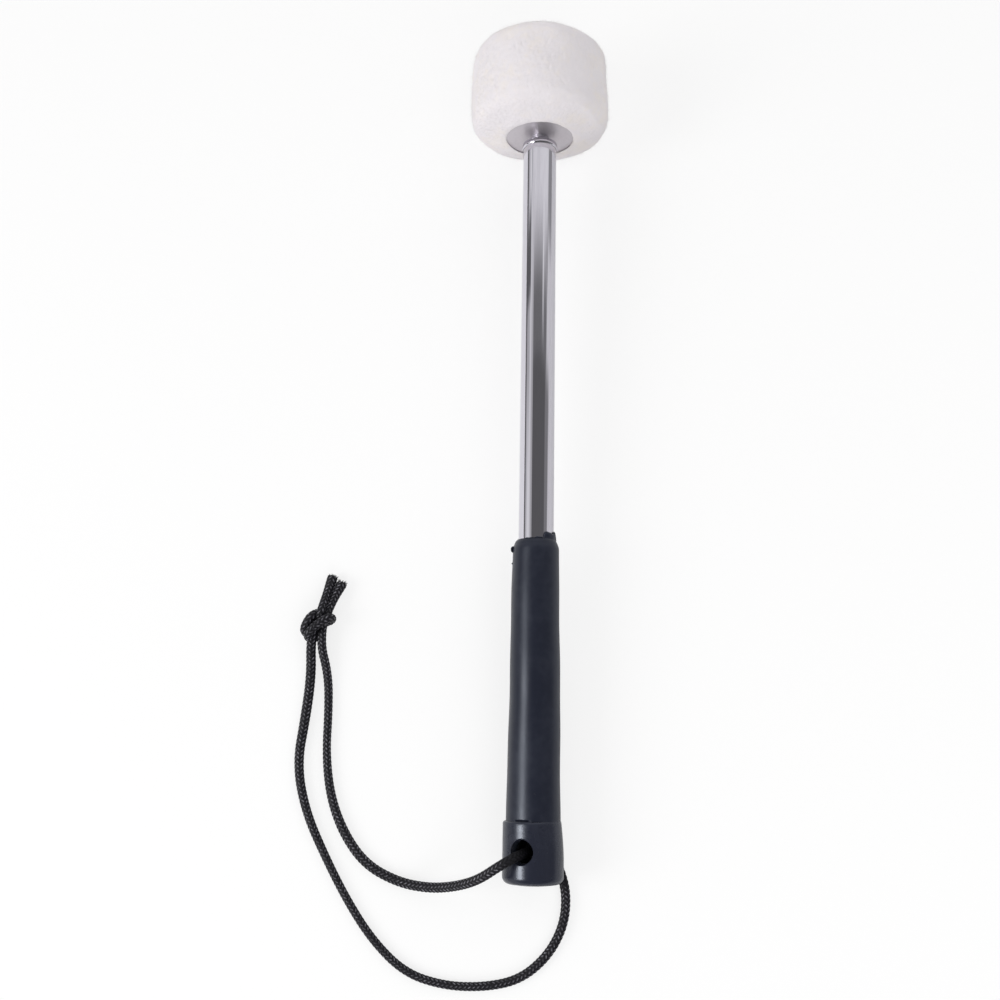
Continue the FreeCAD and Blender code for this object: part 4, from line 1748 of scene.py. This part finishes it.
@dataclass
class FeltHead:
    """Felt head: shell, loose fibres, padding and the core inside it."""

    stations: Stations
    line: ShaftLine
    felt: Finish
    padding: Finish
    wood: Finish
    zinc: Finish
    nicks: Nicks = Nicks()
    drape: Drape = Drape()
    fuzz: Fuzz = Fuzz()
    radius: float = 27.5 * MM
    widest: float = 13.0 * MM
    barrel: float = 170.0 * MM
    crown_rise: float = 2.0 * MM
    crown_rounding: float = 6.5 * MM
    crown_drop: float = 0.4 * MM
    base_rounding: float = 6.0 * MM
    opening: float = 5.0 * MM
    hollow: float = 22.5 * MM
    hollow_rounding: float = 5.3 * MM
    core_radius: float = 16.0 * MM
    soft_gap: float = 0.3 * MM
    washer_gap: float = 0.1 * MM
    washer_bulge: float = 1.3 * MM
    bulge_shares: Span = (0.5, 0.9)
    bulge_out: float = 4.6 * MM
    lip: tuple[Span, ...] = ((0.25, -0.35), (0.5, -0.2), (0.6, 0.6), (0.5, 2.0))
    turn_in: Span = (0.3 * MM, 0.6 * MM)
    arc_steps: tuple[int, int, int, int] = (6, 12, 6, 9)
    hollow_steps: int = 4
    flat_steps: int = 3
    padding_steps: int = 7
    padding_segments: int = 72
    segments: int = 100
    subdivisions: int = 2
    lumps: tuple[tuple[str, float, float], ...] = (
        ("felt_dents", 8.0 * MM, 0.7 * MM), ("felt_nap", 1.1 * MM, 0.3 * MM),
    )
    shoulder_slump: float = 1.6 * MM
    slump_turn: Span = (48.0, 42.0)
    slump_down: Span = (12.0 * MM, 10.0 * MM)
    slump_out: Span = (10.0 * MM, 14.0 * MM)
    right_flat: float = 1.3 * MM
    flat_level: Span = (22.0 * MM, 15.0 * MM)
    outer_margin: Span = (1.5 * MM, 2.0 * MM)
    held_margin: float = 0.1 * MM
    held_reach: float = 20.0 * MM
    held_top: float = 0.4 * MM
    bald_margin: Span = (0.6 * MM, 1.0 * MM)
    bald_hub: float = 15.0 * MM

    def build(self) -> None:
        """Build the head's pieces and dress its solids."""
        shell = self.make_shell()
        settle(shell, self.felt, Body.HEAD, ["felt_cover"])
        settle(self.make_fuzz(shell), self.felt, Body.HEAD)
        padding = self.make_padding()
        settle(padding, self.padding, Body.HEAD, ["felt_padding"])
        dress_solid("head_core", self.wood)
        dress_solid("tee_nut", self.zinc)

    def crown(self) -> float:
        """Station of the felt's crown."""
        return self.stations.head_crown - self.crown_drop

    def outer_outline(self) -> Outline:
        """Outline of the felt from its opening under the washer to its crown.

        Returns:
            Its corners.
        """
        base = self.stations.head_base
        widest = base + self.widest
        middle = self.radius - self.barrel
        low = base + self.base_rounding
        low_radius = middle + math.sqrt((self.barrel - self.base_rounding) ** 2 - (low - widest) ** 2)
        low_turn = math.atan2(low - widest, low_radius - middle)
        edge = self.crown() - self.crown_rise
        edge_radius = middle + math.sqrt(self.barrel ** 2 - (edge - widest) ** 2)
        dome = (edge_radius ** 2 + self.crown_rise ** 2) / (2 * self.crown_rise)
        dome_middle = self.crown() - dome
        high, high_radius = self.meet((widest, middle), self.barrel - self.crown_rounding,
                                      (dome_middle, 0.0), dome - self.crown_rounding)
        high_turn = math.atan2(high - widest, high_radius - middle)
        dome_turn = math.atan2(high - dome_middle, high_radius)
        pole_turn = math.acos(POLE / dome)
        base_steps, side_steps, edge_steps, dome_steps = self.arc_steps
        outline = [*self.washer_edge(), (base - self.turn_in[0], low_radius - self.turn_in[1])]
        outline += Bench.arc((low, low_radius), self.base_rounding, -math.pi / 2, low_turn, base_steps)
        outline += Bench.arc((widest, middle), self.barrel, low_turn, high_turn, side_steps)[1:]
        outline += Bench.arc((high, high_radius), self.crown_rounding, high_turn, dome_turn, edge_steps)[1:]
        return outline + Bench.arc((dome_middle, 0.0), dome, dome_turn, pole_turn, dome_steps)[1:]

    def washer_edge(self) -> Outline:
        """Outline of the felt over the washer, and of the lip that it presses up round the washer's edge.

        Returns:
            Its corners.
        """
        base, face = self.stations.head_base, self.stations.collar_top
        washer = self.stations.washer_radius
        first, last = (base - share * self.washer_bulge for share in self.bulge_shares)
        outline = [(base, radius) for radius in np.linspace(self.opening, washer, self.flat_steps)]
        outline += [(first, washer + self.washer_gap), (face, washer + self.washer_gap)]
        outline += [(face - down * MM, washer + out * MM) for down, out in self.lip]
        return outline + [(last, washer + self.bulge_out)]

    @staticmethod
    def meet(first: Span, first_size: float, second: Span, second_size: float) -> Span:
        """Point outside the axis where two circles in the outline's plane meet.

        Args:
            first: Middle of the first circle.
            first_size: Its radius.
            second: Middle of the second circle.
            second_size: Its radius.

        Returns:
            The point.
        """
        gap = math.dist(first, second)
        along = (first_size ** 2 - second_size ** 2 + gap ** 2) / (2 * gap)
        aside = math.sqrt(first_size ** 2 - along ** 2)
        step = ((second[0] - first[0]) / gap, (second[1] - first[1]) / gap)
        points = [(first[0] + step[0] * along + sign * step[1] * aside,
                   first[1] + step[1] * along - sign * step[0] * aside) for sign in (1, -1)]
        return max(points, key=lambda point: point[1])

    def inner_outline(self) -> Outline:
        """Outline of the hollow from its top on the axis to the opening.

        Returns:
            Its corners.
        """
        top = self.stations.padding_top + self.soft_gap
        floor = self.stations.core_bottom - self.soft_gap
        level = self.hollow - self.hollow_rounding
        outline = [(top, radius) for radius in np.linspace(POLE, level, self.flat_steps)]
        middle = (top - self.hollow_rounding, level)
        outline += Bench.arc(middle, self.hollow_rounding, math.pi / 2, 0.0, self.hollow_steps)[1:]
        return outline + [(floor, self.hollow), (floor, self.opening)]

    def make_shell(self) -> Piece:
        """Felt shell, drawn tight over the padding by a cloth simulation and then left slightly lumpy.

        Returns:
            The piece, in the row frame.
        """
        outline = self.inner_outline() + self.outer_outline()
        shell = Bench.turned("felt_shell", outline, self.segments, End.POLE)
        self.drape.pull(shell, self.still_points(shell))
        finer = shell.modifiers.new("finer", "SUBSURF")
        finer.levels = finer.render_levels = self.subdivisions
        Bench.apply(shell, finer)
        for name, grain, height in self.lumps:
            Bench.roughen(shell, name, grain, height)
        self.wear(shell)
        return Bench.place(shell, self.line)

    def still_points(self, shell: Piece) -> np.ndarray:
        """Points of the shell that stay where they are: under the washer and in the hollow.

        Args:
            shell: Felt shell, in its local frame.

        Returns:
            Whether each point stays.
        """
        places = Bench.points(shell)
        span, _ = Bench.around(places)
        under = (places[:, 2] < self.stations.head_base + self.held_margin) & (span < self.held_reach)
        inner = (span <= self.hollow + self.held_margin)
        inner &= (places[:, 2] <= self.stations.padding_top + self.held_top)
        return under | inner

    def wear(self, shell: Piece) -> None:
        """Let one shoulder slump, flatten one side, and leave nicks along the sides.

        Args:
            shell: Felt shell, in its local frame.
        """
        places = Bench.points(shell)
        span, turn = Bench.around(places)
        crown, base = self.crown(), self.stations.head_base
        high = ramp(places[:, 2], crown - self.slump_down[0], self.slump_down[1])
        wide = ramp(span, *self.slump_out)
        places[:, 2] -= self.shoulder_slump * high ** 2 * wide ** 2 * bell(turn, *self.slump_turn)
        outer = span > self.hollow + self.outer_margin[0]
        outer |= places[:, 2] > self.stations.padding_top + self.outer_margin[1]
        level = bell(places[:, 2], base + self.flat_level[0], self.flat_level[1])
        places[:, 0] -= outer * self.right_flat * level * ramp(places[:, 0], 0.0, self.radius) ** 2
        self.nicks.cut(places, span, turn, outer, (base, crown), self.radius)
        Bench.set_points(shell, places)

    def make_fuzz(self, shell: Piece) -> Piece:
        """Loose fibres all over the outside of the felt, apart from where it lies on the floor.

        Args:
            shell: Felt shell, in the row frame.

        Returns:
            The piece.
        """
        faces = shell.data.polygons
        centres, normals = np.zeros(len(faces) * 3), np.zeros(len(faces) * 3)
        areas = np.zeros(len(faces))
        faces.foreach_get("center", centres)
        faces.foreach_get("normal", normals)
        faces.foreach_get("area", areas)
        centres, normals = centres.reshape(-1, 3), normals.reshape(-1, 3)
        foot, along = np.array(self.line.foot), np.array(self.line.along)
        station = (centres - foot) @ along
        span = np.linalg.norm(centres - foot - station[:, None] * along, axis=1)
        beside, beyond = self.bald_margin
        inside = (span < self.hollow + beside) & (station < self.stations.padding_top + beyond)
        inside &= station > self.stations.head_base + beyond
        hub = (span < self.bald_hub) & (station < self.stations.core_bottom)
        areas[inside | hub | (centres[:, 2] < self.fuzz.length[1])] = 0.0
        return self.fuzz.grow("felt_fuzz", centres, normals, areas)

    def make_padding(self) -> Piece:
        """Felt cup between the shell and the core.

        Returns:
            The piece, in the row frame.
        """
        top, floor = self.stations.padding_top, self.stations.core_bottom
        roof = self.stations.core_top + self.soft_gap
        outer = self.hollow - self.soft_gap
        inner = self.core_radius + self.soft_gap
        rounding = self.hollow_rounding - self.soft_gap
        outline = [(roof, POLE), (roof, inner), (floor, inner), (floor, outer)]
        middle = (top - rounding, outer - rounding)
        outline += [*Bench.arc(middle, rounding, 0.0, math.pi / 2, self.padding_steps), (top, POLE)]
        padding = Bench.turned("padding_cup", outline, self.padding_segments, End.POLE)
        return Bench.place(padding, self.line)


@dataclass
class Shaft:
    """Bright tube with its plug, the washer, and the threaded stud."""

    stations: Stations
    line: ShaftLine
    chrome: Finish
    washer: Finish
    zinc: Finish
    stud_radius: float = 3.0 * MM
    stud_bottom: float = 271.85 * MM
    stud_segments: int = 40
    pitch: float = 1.0 * MM
    pitch_rings: int = 8
    thread_depth: float = 0.5 * MM
    thread_form: Span = (1.3, 0.15)
    tip_taper: float = 0.8 * MM
    tip_depth: float = 0.5 * MM
    axis_margin: float = 1.0 * MM
    plug_bottom: float = 266.7 * MM
    plug_radius: float = 5.45 * MM
    bore_radius: float = 3.05 * MM
    clearance: float = 0.05 * MM
    ring_radius: float = 6.9 * MM
    ring_lap: float = 2.5 * MM
    ring_rise: float = 0.3 * MM
    ring_rounding: float = 0.9 * MM
    ring_fit: float = 0.04 * MM
    ring_foot: float = 0.2 * MM
    ring_steps: tuple[int, int] = (9, 7)
    neck_radius: float = 3.4 * MM
    neck_share: float = 0.9
    dome_rise: float = 0.8 * MM
    dome_radius: float = 5.7 * MM
    dome_steps: int = 7
    # width of the painted shade at the foot of the dome, as a share of its rise
    groove_shade_share: float = 0.5
    segments: int = 96
    sharp_angle: float = 35.0

    def build(self) -> None:
        """Dress the solids and build the collar and the stud."""
        dress_solid("shaft_tube", self.chrome)
        dress_solid("base_washer", self.washer)
        settle(self.make_collar(), self.chrome, Body.HANDLE, ["shaft_plug"])
        settle(self.make_stud(), self.zinc, Body.HANDLE, ["head_stud"])

    def collar_outline(self) -> Outline:
        """Outline of the plug, from the end of its bore round the neck, the dome and the ring to its bottom.

        Returns:
            Its corners.
        """
        top, tube = self.stations.collar_top, self.stations.tube_top
        low, high = tube - self.ring_lap, tube + self.ring_rise
        inner = self.stations.tube_radius + self.ring_fit
        side = self.ring_radius - self.ring_rounding
        floor, seat = self.stud_bottom - self.clearance, tube + self.clearance
        outline = [(floor, POLE), (floor, self.bore_radius), (top, self.bore_radius),
                   (top, self.neck_radius), (high + self.dome_rise, self.neck_radius)]
        for turn in np.linspace(0.0, math.pi / 2, self.dome_steps)[1:]:
            outline.append((high + self.dome_rise * math.cos(turn),
                            self.neck_radius + (self.dome_radius - self.neck_radius) * math.sin(turn)))
        upper, lower = (high - self.ring_rounding, side), (low + self.ring_rounding, side)
        outline += Bench.arc(upper, self.ring_rounding, math.pi / 2, 0.0, self.ring_steps[0])
        outline += Bench.arc(lower, self.ring_rounding, 0.0, -math.pi / 4, self.ring_steps[1])
        outline += [(low + self.ring_foot, inner), (seat, inner), (seat, self.plug_radius)]
        return outline + [(self.plug_bottom, self.plug_radius), (self.plug_bottom, POLE)]

    def make_collar(self) -> Piece:
        """Plug with a rounded ring over the tube's end and a neck that the washer sits on.

        Returns:
            The piece, in the row frame.
        """
        collar = Bench.turned("collar_plug", self.collar_outline(), self.segments, End.POLE)
        places = Bench.points(collar)
        span, _ = Bench.around(places)
        high = self.stations.tube_top + self.ring_rise
        neck = places[:, 2] > high + self.neck_share * self.dome_rise
        # points in the groove at the foot of the dome, which are marked for painted shade
        foot = np.abs(places[:, 2] - high) < self.groove_shade_share * self.dome_rise
        foot &= span < self.dome_radius + POLE
        Bench.mark(collar, "dull", neck)
        Bench.mark(collar, "painted_groove_shade", foot)
        bpy.ops.object.shade_smooth_by_angle(angle=math.radians(self.sharp_angle))
        return Bench.place(collar, self.line)

    def make_stud(self) -> Piece:
        """Stud with its thread, wound up to the tip.

        Returns:
            The piece, in the row frame.
        """
        rings = np.arange(self.stud_bottom, self.stations.stud_tip, self.pitch / self.pitch_rings)
        outline = [(float(station), self.stud_radius) for station in rings]
        stud = Bench.turned("threaded_stud", outline, self.stud_segments, End.POLE)
        places = Bench.points(stud)
        span, _ = Bench.around(places)
        turn = np.arctan2(places[:, 1], places[:, 0]) / math.tau
        wave = np.abs(np.mod(places[:, 2] / self.pitch - turn, 1.0) - 0.5) * 2.0
        taper = np.clip((self.stations.stud_tip - places[:, 2]) / self.tip_taper, 0.0, 1.0)
        slope, crest = self.thread_form
        depth = self.thread_depth * np.clip(wave * slope - crest, 0.0, 1.0) + self.tip_depth * (1.0 - taper)
        scale = np.where(span > self.axis_margin, (span - depth) / np.maximum(span, TINY), 1.0)
        places[:, :2] *= scale[:, None]
        Bench.set_points(stud, places)
        return Bench.place(stud, self.line)


@dataclass(frozen=True)
class Scrap:
    """Curled shaving that stands off the skin, at a turn in degrees from the top to the right."""

    name: str
    turn: float
    station: float
    width: float
    length: float
    sunk: float = 0.3 * MM
    least: float = 0.35
    curl: float = 0.5
    curl_rate: float = 3.0
    thickness: float = 0.22 * MM
    rows: tuple[int, int] = (5, 7)

    def make(self, radius: float, line: ShaftLine) -> Piece:
        """Make the shaving.

        Args:
            radius: Radius of the skin there.
            line: Line of the shaft.

        Returns:
            The piece, in the row frame.
        """
        Bench.clear()
        bpy.ops.mesh.primitive_grid_add(x_subdivisions=self.rows[0], y_subdivisions=self.rows[1], size=1.0)
        scrap = bpy.context.object
        scrap.name = self.name
        places = Bench.points(scrap)
        out, run = places[:, 0] + 0.5, places[:, 1].copy()
        bow = np.sqrt(np.clip(1.0 - (2.0 * run) ** 2, 0.0, 1.0))
        angle = math.radians(self.turn)
        reach = radius - self.sunk + out * self.width * (self.least + (1.0 - self.least) * bow)
        curl = self.curl * self.width * out ** 2 * np.cos(self.curl_rate * run)
        places[:, 0] = math.sin(angle) * reach + math.cos(angle) * curl
        places[:, 1] = -math.cos(angle) * reach + math.sin(angle) * curl
        places[:, 2] = self.station + run * self.length
        Bench.set_points(scrap, places)
        thick = scrap.modifiers.new("thick", "SOLIDIFY")
        thick.thickness = self.thickness
        Bench.apply(scrap, thick)
        bpy.ops.object.shade_smooth()
        return Bench.place(scrap, line)


@dataclass
class Grip:
    """Grip: the dark skin with its torn lip and two scraps, and the foam under it.

    Attributes:
        lip_form: Corners of the lip, as millimetres down from its edge and out from the tube.
        tears: Waves of the torn lip, as height in millimetres, number round the tube, and start in degrees.
        dip: Low stretch of the lip, as depth in millimetres, and middle and width in degrees.
        swells: Slow waves of the skin, as height in millimetres, rate along the shaft, turns and start.
    """

    stations: Stations
    line: ShaftLine
    skin: Finish
    foam: Finish
    bottom_radius: float = 9.6 * MM
    top_radius: float = 8.55 * MM
    wall: float = 0.8 * MM
    shoulder: float = 3.6 * MM
    fit: float = 0.05 * MM
    foam_fits: int = 3
    foam_segments: int = 72
    segments: int = 160
    seat_gap: float = 1.2 * MM
    rim_zone: Span = (1.0 * MM, 1.4 * MM)
    side_gaps: Span = (2.0 * MM, 1.2 * MM)
    row_counts: tuple[int, int, int] = (6, 13, 90)
    fold_end: Span = (1.5 * MM, 0.95 * MM)
    fold_from: float = 0.12
    fold_steps: int = 8
    lip_form: tuple[Span, ...] = (
        (1.3, 0.72), (1.1, 0.66), (0.85, 0.84), (0.55, 0.94),
        (0.25, 0.84), (0.05, 0.6), (0.0, 0.3), (0.08, 0.0),
    )
    lip_depth: float = 1.2 * MM
    lip_wear: float = 0.85 * MM
    tears: tuple[Triple, ...] = ((0.16, 5.0, 40.0), (0.12, 11.0, 10.0), (0.09, 23.0, 70.0))
    dip: Triple = (0.75, -72.0, 28.0)
    tear_zone: Span = (1.3 * MM, 1.2 * MM)
    flap: Span = (20.0, 74.0)
    flap_rise: float = 1.5 * MM
    flap_fall: float = 0.35
    flap_edges: Span = (7.0, 6.0)
    spike_turn: float = 70.0
    spike_width: float = 3.0
    spike_rise: float = 0.8 * MM
    notch_width: float = 4.0
    notch_depth: float = 0.5 * MM
    swells: tuple[tuple[float, ...], ...] = ((0.10, 95.0, 1.0, 0.0), (0.06, 240.0, 0.0, 2.0))
    outer_share: float = 0.5
    crease: Span = (-46.0, -6.0)
    crease_fade: float = 8.0
    crease_depth: float = 0.6 * MM
    crease_width: float = 0.38 * MM
    scraps: tuple[Scrap, ...] = (
        Scrap("skin_flake", -86.0, 117.6 * MM, 1.1 * MM, 2.4 * MM),
        Scrap("skin_speck", -88.0, 112.4 * MM, 0.6 * MM, 0.8 * MM),
    )

    def build(self) -> None:
        """Build the skin, the foam and the loose scraps."""
        settle(self.make_skin(), self.skin, Body.HANDLE, ["grip_sleeve"])
        settle(self.make_foam(), self.foam, Body.HANDLE, ["grip_underlay"])
        for scrap in self.scraps:
            made = scrap.make(self.radius_at(scrap.station), self.line)
            settle(made, self.skin, Body.HANDLE)

    def radius_at(self, station: float) -> float:
        """Outer radius of the tapered skin.

        Args:
            station: Place along the shaft.

        Returns:
            The radius.
        """
        rim = self.stations.cap_rim
        length = self.stations.sleeve_lip - self.shoulder - rim
        return self.bottom_radius + (self.top_radius - self.bottom_radius) * (station - rim) / length

    def skin_outline(self) -> Outline:
        """Outline of the skin, up its outside, over the shoulder and the lip, and down its inside.

        Returns:
            Its corners.
        """
        lip, bottom, rim = self.stations.sleeve_lip, self.stations.sleeve_bottom, self.stations.cap_rim
        inner = self.stations.tube_radius + self.fit
        shoulder = lip - self.shoulder
        seat_rows, rim_rows, side_rows = self.row_counts
        levels = [*np.linspace(bottom, rim - self.seat_gap, seat_rows),
                  *np.linspace(rim - self.rim_zone[0], rim + self.rim_zone[1], rim_rows),
                  *np.linspace(rim + self.side_gaps[0], shoulder - self.side_gaps[1], side_rows)]
        outline = [(float(station), self.radius_at(float(station))) for station in levels]
        start, corner = outline[-1], (shoulder, self.radius_at(shoulder))
        finish = (lip - self.fold_end[0], inner + self.fold_end[1])
        for share in np.linspace(self.fold_from, 1.0, self.fold_steps):
            first = [one + (two - one) * share for one, two in zip(start, corner)]
            second = [one + (two - one) * share for one, two in zip(corner, finish)]
            outline.append(tuple(one + (two - one) * share for one, two in zip(first, second)))
        outline += [(lip - down * MM, inner + out * MM) for down, out in self.lip_form]
        outline += [(lip - self.lip_depth, inner), (shoulder, inner)]
        outline += [(station, self.radius_at(station) - self.wall) for station in (shoulder, bottom)]
        return [*outline, outline[0]]

    def make_skin(self) -> Piece:
        """Skin of the grip, slightly uneven, drawn in round the tube, with a torn edge.

        Returns:
            The piece, in the row frame.
        """
        skin = Bench.turned("grip_skin", self.skin_outline(), self.segments, End.JOINED)
        places = Bench.points(skin)
        span, turn = Bench.around(places)
        lip, rim = self.stations.sleeve_lip, self.stations.cap_rim
        places[:, 2] += self.torn_rise(turn) * ramp(places[:, 2], lip - self.tear_zone[0], self.tear_zone[1])
        outer = span > self.radius_at(lip) - self.outer_share * self.wall
        swell = np.zeros(len(places))
        for height, rate, turns, start in self.swells:
            swell += height * np.sin(places[:, 2] * rate + np.radians(turn) * turns + start)
        places[:, :2] *= (1.0 + outer * swell * MM / np.maximum(span, TINY))[:, None]
        first, last = self.crease
        facing = smooth_step(turn, first, self.crease_fade)
        facing *= 1.0 - smooth_step(turn, last - self.crease_fade, self.crease_fade)
        pressed = outer * self.crease_depth * bell(places[:, 2], rim, self.crease_width) * facing
        places[:, :2] *= (1.0 - pressed / np.maximum(span, TINY))[:, None]
        Bench.set_points(skin, places)
        return Bench.place(skin, self.line)

    def torn_rise(self, turn: np.ndarray) -> np.ndarray:
        """How far the torn lip stands above its plain edge.

        Args:
            turn: Turns from the top to the right, in degrees.

        Returns:
            The rise at each turn.
        """
        low, high = self.flap
        depth, middle, width = self.dip
        ragged = -depth * bell(turn, middle, width)
        for height, count, start in self.tears:
            ragged += height * np.sin(np.radians(turn * count + start))
        slope = 1.0 - self.flap_fall * (turn - low) / (high - low)
        first, last = self.flap_edges
        raised = smooth_step(turn, low, first) * (1.0 - smooth_step(turn, high, last))
        rise = ragged * MM + self.flap_rise * slope * raised - self.lip_wear * (1.0 - raised)
        rise += self.spike_rise * bell(turn, self.spike_turn, self.spike_width)
        return rise - self.notch_depth * bell(turn, low, self.notch_width)

    def make_foam(self) -> Piece:
        """Foam layer between the tube and the skin.

        Returns:
            The piece, in the row frame.
        """
        bottom, top = self.stations.sleeve_bottom, self.stations.sleeve_lip - self.shoulder - self.fit
        inner = self.stations.tube_radius + self.fit
        gap = self.wall + self.foam_fits * self.fit
        outline = [(bottom, inner), (bottom, self.radius_at(bottom) - gap), (top, self.radius_at(top) - gap),
                   (top, inner), (bottom, inner)]
        foam = Bench.turned("foam_layer", outline, self.foam_segments, End.JOINED)
        return Bench.place(foam, self.line)


@dataclass
class EndCap:
    """End cap, crossed by the cord hole.

    Its rim steps down to the grip on one side and runs into it on the other.
    """

    stations: Stations
    line: ShaftLine
    finish: Finish
    radius: float = 10.75 * MM
    end_rounding: float = 2.5 * MM
    end_bow: float = 0.7 * MM
    end_shares: tuple[float, ...] = (0.8, 0.6, 0.4, 0.2)
    end_steps: int = 10
    rim_rounding: float = 0.9 * MM
    rim_chamfer: Span = (0.3 * MM, 0.1 * MM)
    rim_steps: int = 7
    side_rows: int = 22
    seat_radius: float = 9.65 * MM
    seat_margin: float = 0.02 * MM
    bore_radius: float = 6.55 * MM
    end_wall: float = 3.0 * MM
    hole_station: float = 11.15 * MM
    hole_turn: float = -24.4
    hole_radius: float = 4.2 * MM
    hole_segments: int = 64
    mouth_radius: float = 4.6 * MM
    mouth_depth: float = 0.35 * MM
    cutter_reach: float = 1.4
    inner_depth: float = 1.2 * MM
    inner_floor: float = 0.5
    taper_from: float = 8.5 * MM
    taper_share: float = 0.86
    taper_power: float = 1.5
    taper_start: Span = (-14.0, 50.0)
    taper_end: Span = (140.0, 35.0)
    segments: int = 144
    sharp_angle: float = 32.0

    def build(self) -> None:
        """Build the cap."""
        cap = Bench.turned("cap_body", self.outline(), self.segments, End.POLE)
        self.cut_hole(cap)
        self.shape_rim(cap)
        self.mark_painted_hole_light(cap)
        bpy.ops.object.shade_smooth_by_angle(angle=math.radians(self.sharp_angle))
        Bench.place(cap, self.line)
        settle(cap, self.finish, Body.HANDLE, ["end_cap"])

    def outline(self) -> Outline:
        """Outline from the inside of the end wall round the rim to the middle of the end.

        Returns:
            Its corners.
        """
        rim, bottom = self.stations.cap_rim, self.stations.sleeve_bottom
        side, high = self.radius - self.end_rounding, rim - self.rim_rounding
        down, out = self.rim_chamfer
        outline = [(self.end_wall, POLE), (self.end_wall, self.bore_radius), (bottom, self.bore_radius),
                   (bottom, self.seat_radius), (rim - down, self.seat_radius), (rim, self.seat_radius + out)]
        middle = (high, self.radius - self.rim_rounding)
        outline += Bench.arc(middle, self.rim_rounding, math.pi / 2, 0.0, self.rim_steps)
        levels = np.linspace(high, self.end_rounding, self.side_rows)[1:-1]
        outline += [(float(station), self.radius) for station in levels]
        middle = (self.end_rounding, side)
        outline += Bench.arc(middle, self.end_rounding, 0.0, -math.pi / 2, self.end_steps)
        outline += [(-self.end_bow * (1.0 - share ** 2), side * share) for share in self.end_shares]
        return outline + [(-self.end_bow, POLE)]

    def cut_hole(self, cap: Piece) -> None:
        """Cut the hole for the cord, with widened mouths, right through the cap.

        Args:
            cap: Cap, in its local frame.
        """
        neck, past = self.radius - self.mouth_depth, self.cutter_reach * self.radius
        flare = (self.mouth_radius - self.hole_radius) / self.mouth_depth
        half = [(neck, self.hole_radius), (past, self.mouth_radius + flare * (past - self.radius))]
        outline = [(-station, radius) for station, radius in reversed(half)] + half
        cutter = Bench.turned("hole_cutter", outline, self.hole_segments, End.POLE)
        turn = math.radians(self.hole_turn)
        way = Vector((math.sin(turn), -math.cos(turn), 0.0))
        place = way.to_track_quat("Z", "Y").to_matrix().to_4x4()
        place.translation = (0.0, 0.0, self.hole_station)
        cutter.matrix_world = place
        cut = cap.modifiers.new("hole", "BOOLEAN")
        cut.operation = "DIFFERENCE"
        cut.solver = "EXACT"
        cut.object = cutter
        Bench.apply(cap, cut)
        bpy.data.objects.remove(cutter)

    def shape_rim(self, cap: Piece) -> None:
        """Draw the rim in to the grip on the right, where the step fades out.

        Args:
            cap: Cap, in its local frame.
        """
        places = Bench.points(cap)
        span, turn = Bench.around(places)
        facing = smooth_step(turn, *self.taper_start) * (1.0 - smooth_step(turn, *self.taper_end))
        high = ramp(places[:, 2], self.taper_from, self.stations.cap_rim - self.taper_from)
        share = 1.0 - self.taper_share * facing * high ** self.taper_power
        drawn = self.seat_radius + (span - self.seat_radius) * share
        scale = np.where(span > self.seat_radius + self.seat_margin, drawn / np.maximum(span, TINY), 1.0)
        places[:, :2] *= scale[:, None]
        Bench.set_points(cap, places)

    def mark_painted_hole_light(self, cap: Piece) -> None:
        """Mark the walls of the hole and the bore, which get the rubber's painted light: a paler, matt colour
        without reflection.

        Args:
            cap: Cap, in its local frame.
        """
        places = Bench.points(cap)
        span, _ = Bench.around(places)
        deep = span < self.radius - self.inner_depth
        Bench.mark(cap, "inside", deep & (places[:, 2] > self.inner_floor * self.end_rounding))


def main() -> None:
    """Build the studio and the beater, piece by piece."""
    logging.basicConfig(level=logging.INFO, format="%(name)s %(message)s")
    stations = Stations()
    line = shaft_line(stations)
    zinc = ZincFinish("zinc_plate")
    Studio().build()
    WristCord(Braid(), BraidFinish("black_braid")).build()
    pressed = FeltFinish("pressed_felt", plain=(0.72, 0.7, 0.67, 1.0))
    FeltHead(stations, line, FeltFinish("brushed_felt"), pressed, WoodFinish("turned_wood"), zinc).build()
    washer = TurnedSteelFinish("turned_steel", line, stations.head_base)
    covered = (line.foot + line.along * stations.cap_rim).y
    Shaft(stations, line, ChromeFinish("bright_plating", covered), washer, zinc).build()
    Grip(stations, line, RubberFinish("grip_surface", shine=0.3), FoamFinish("foam_cells")).build()
    cap = RubberFinish("cap_surface", deep=(0.0175, 0.0195, 0.032, 1.0), worn=(0.0225, 0.025, 0.039, 1.0),
                       rough=(0.25, 0.34), shine=0.36)
    EndCap(stations, line, cap).build()


if __name__ == "__main__":
    main()
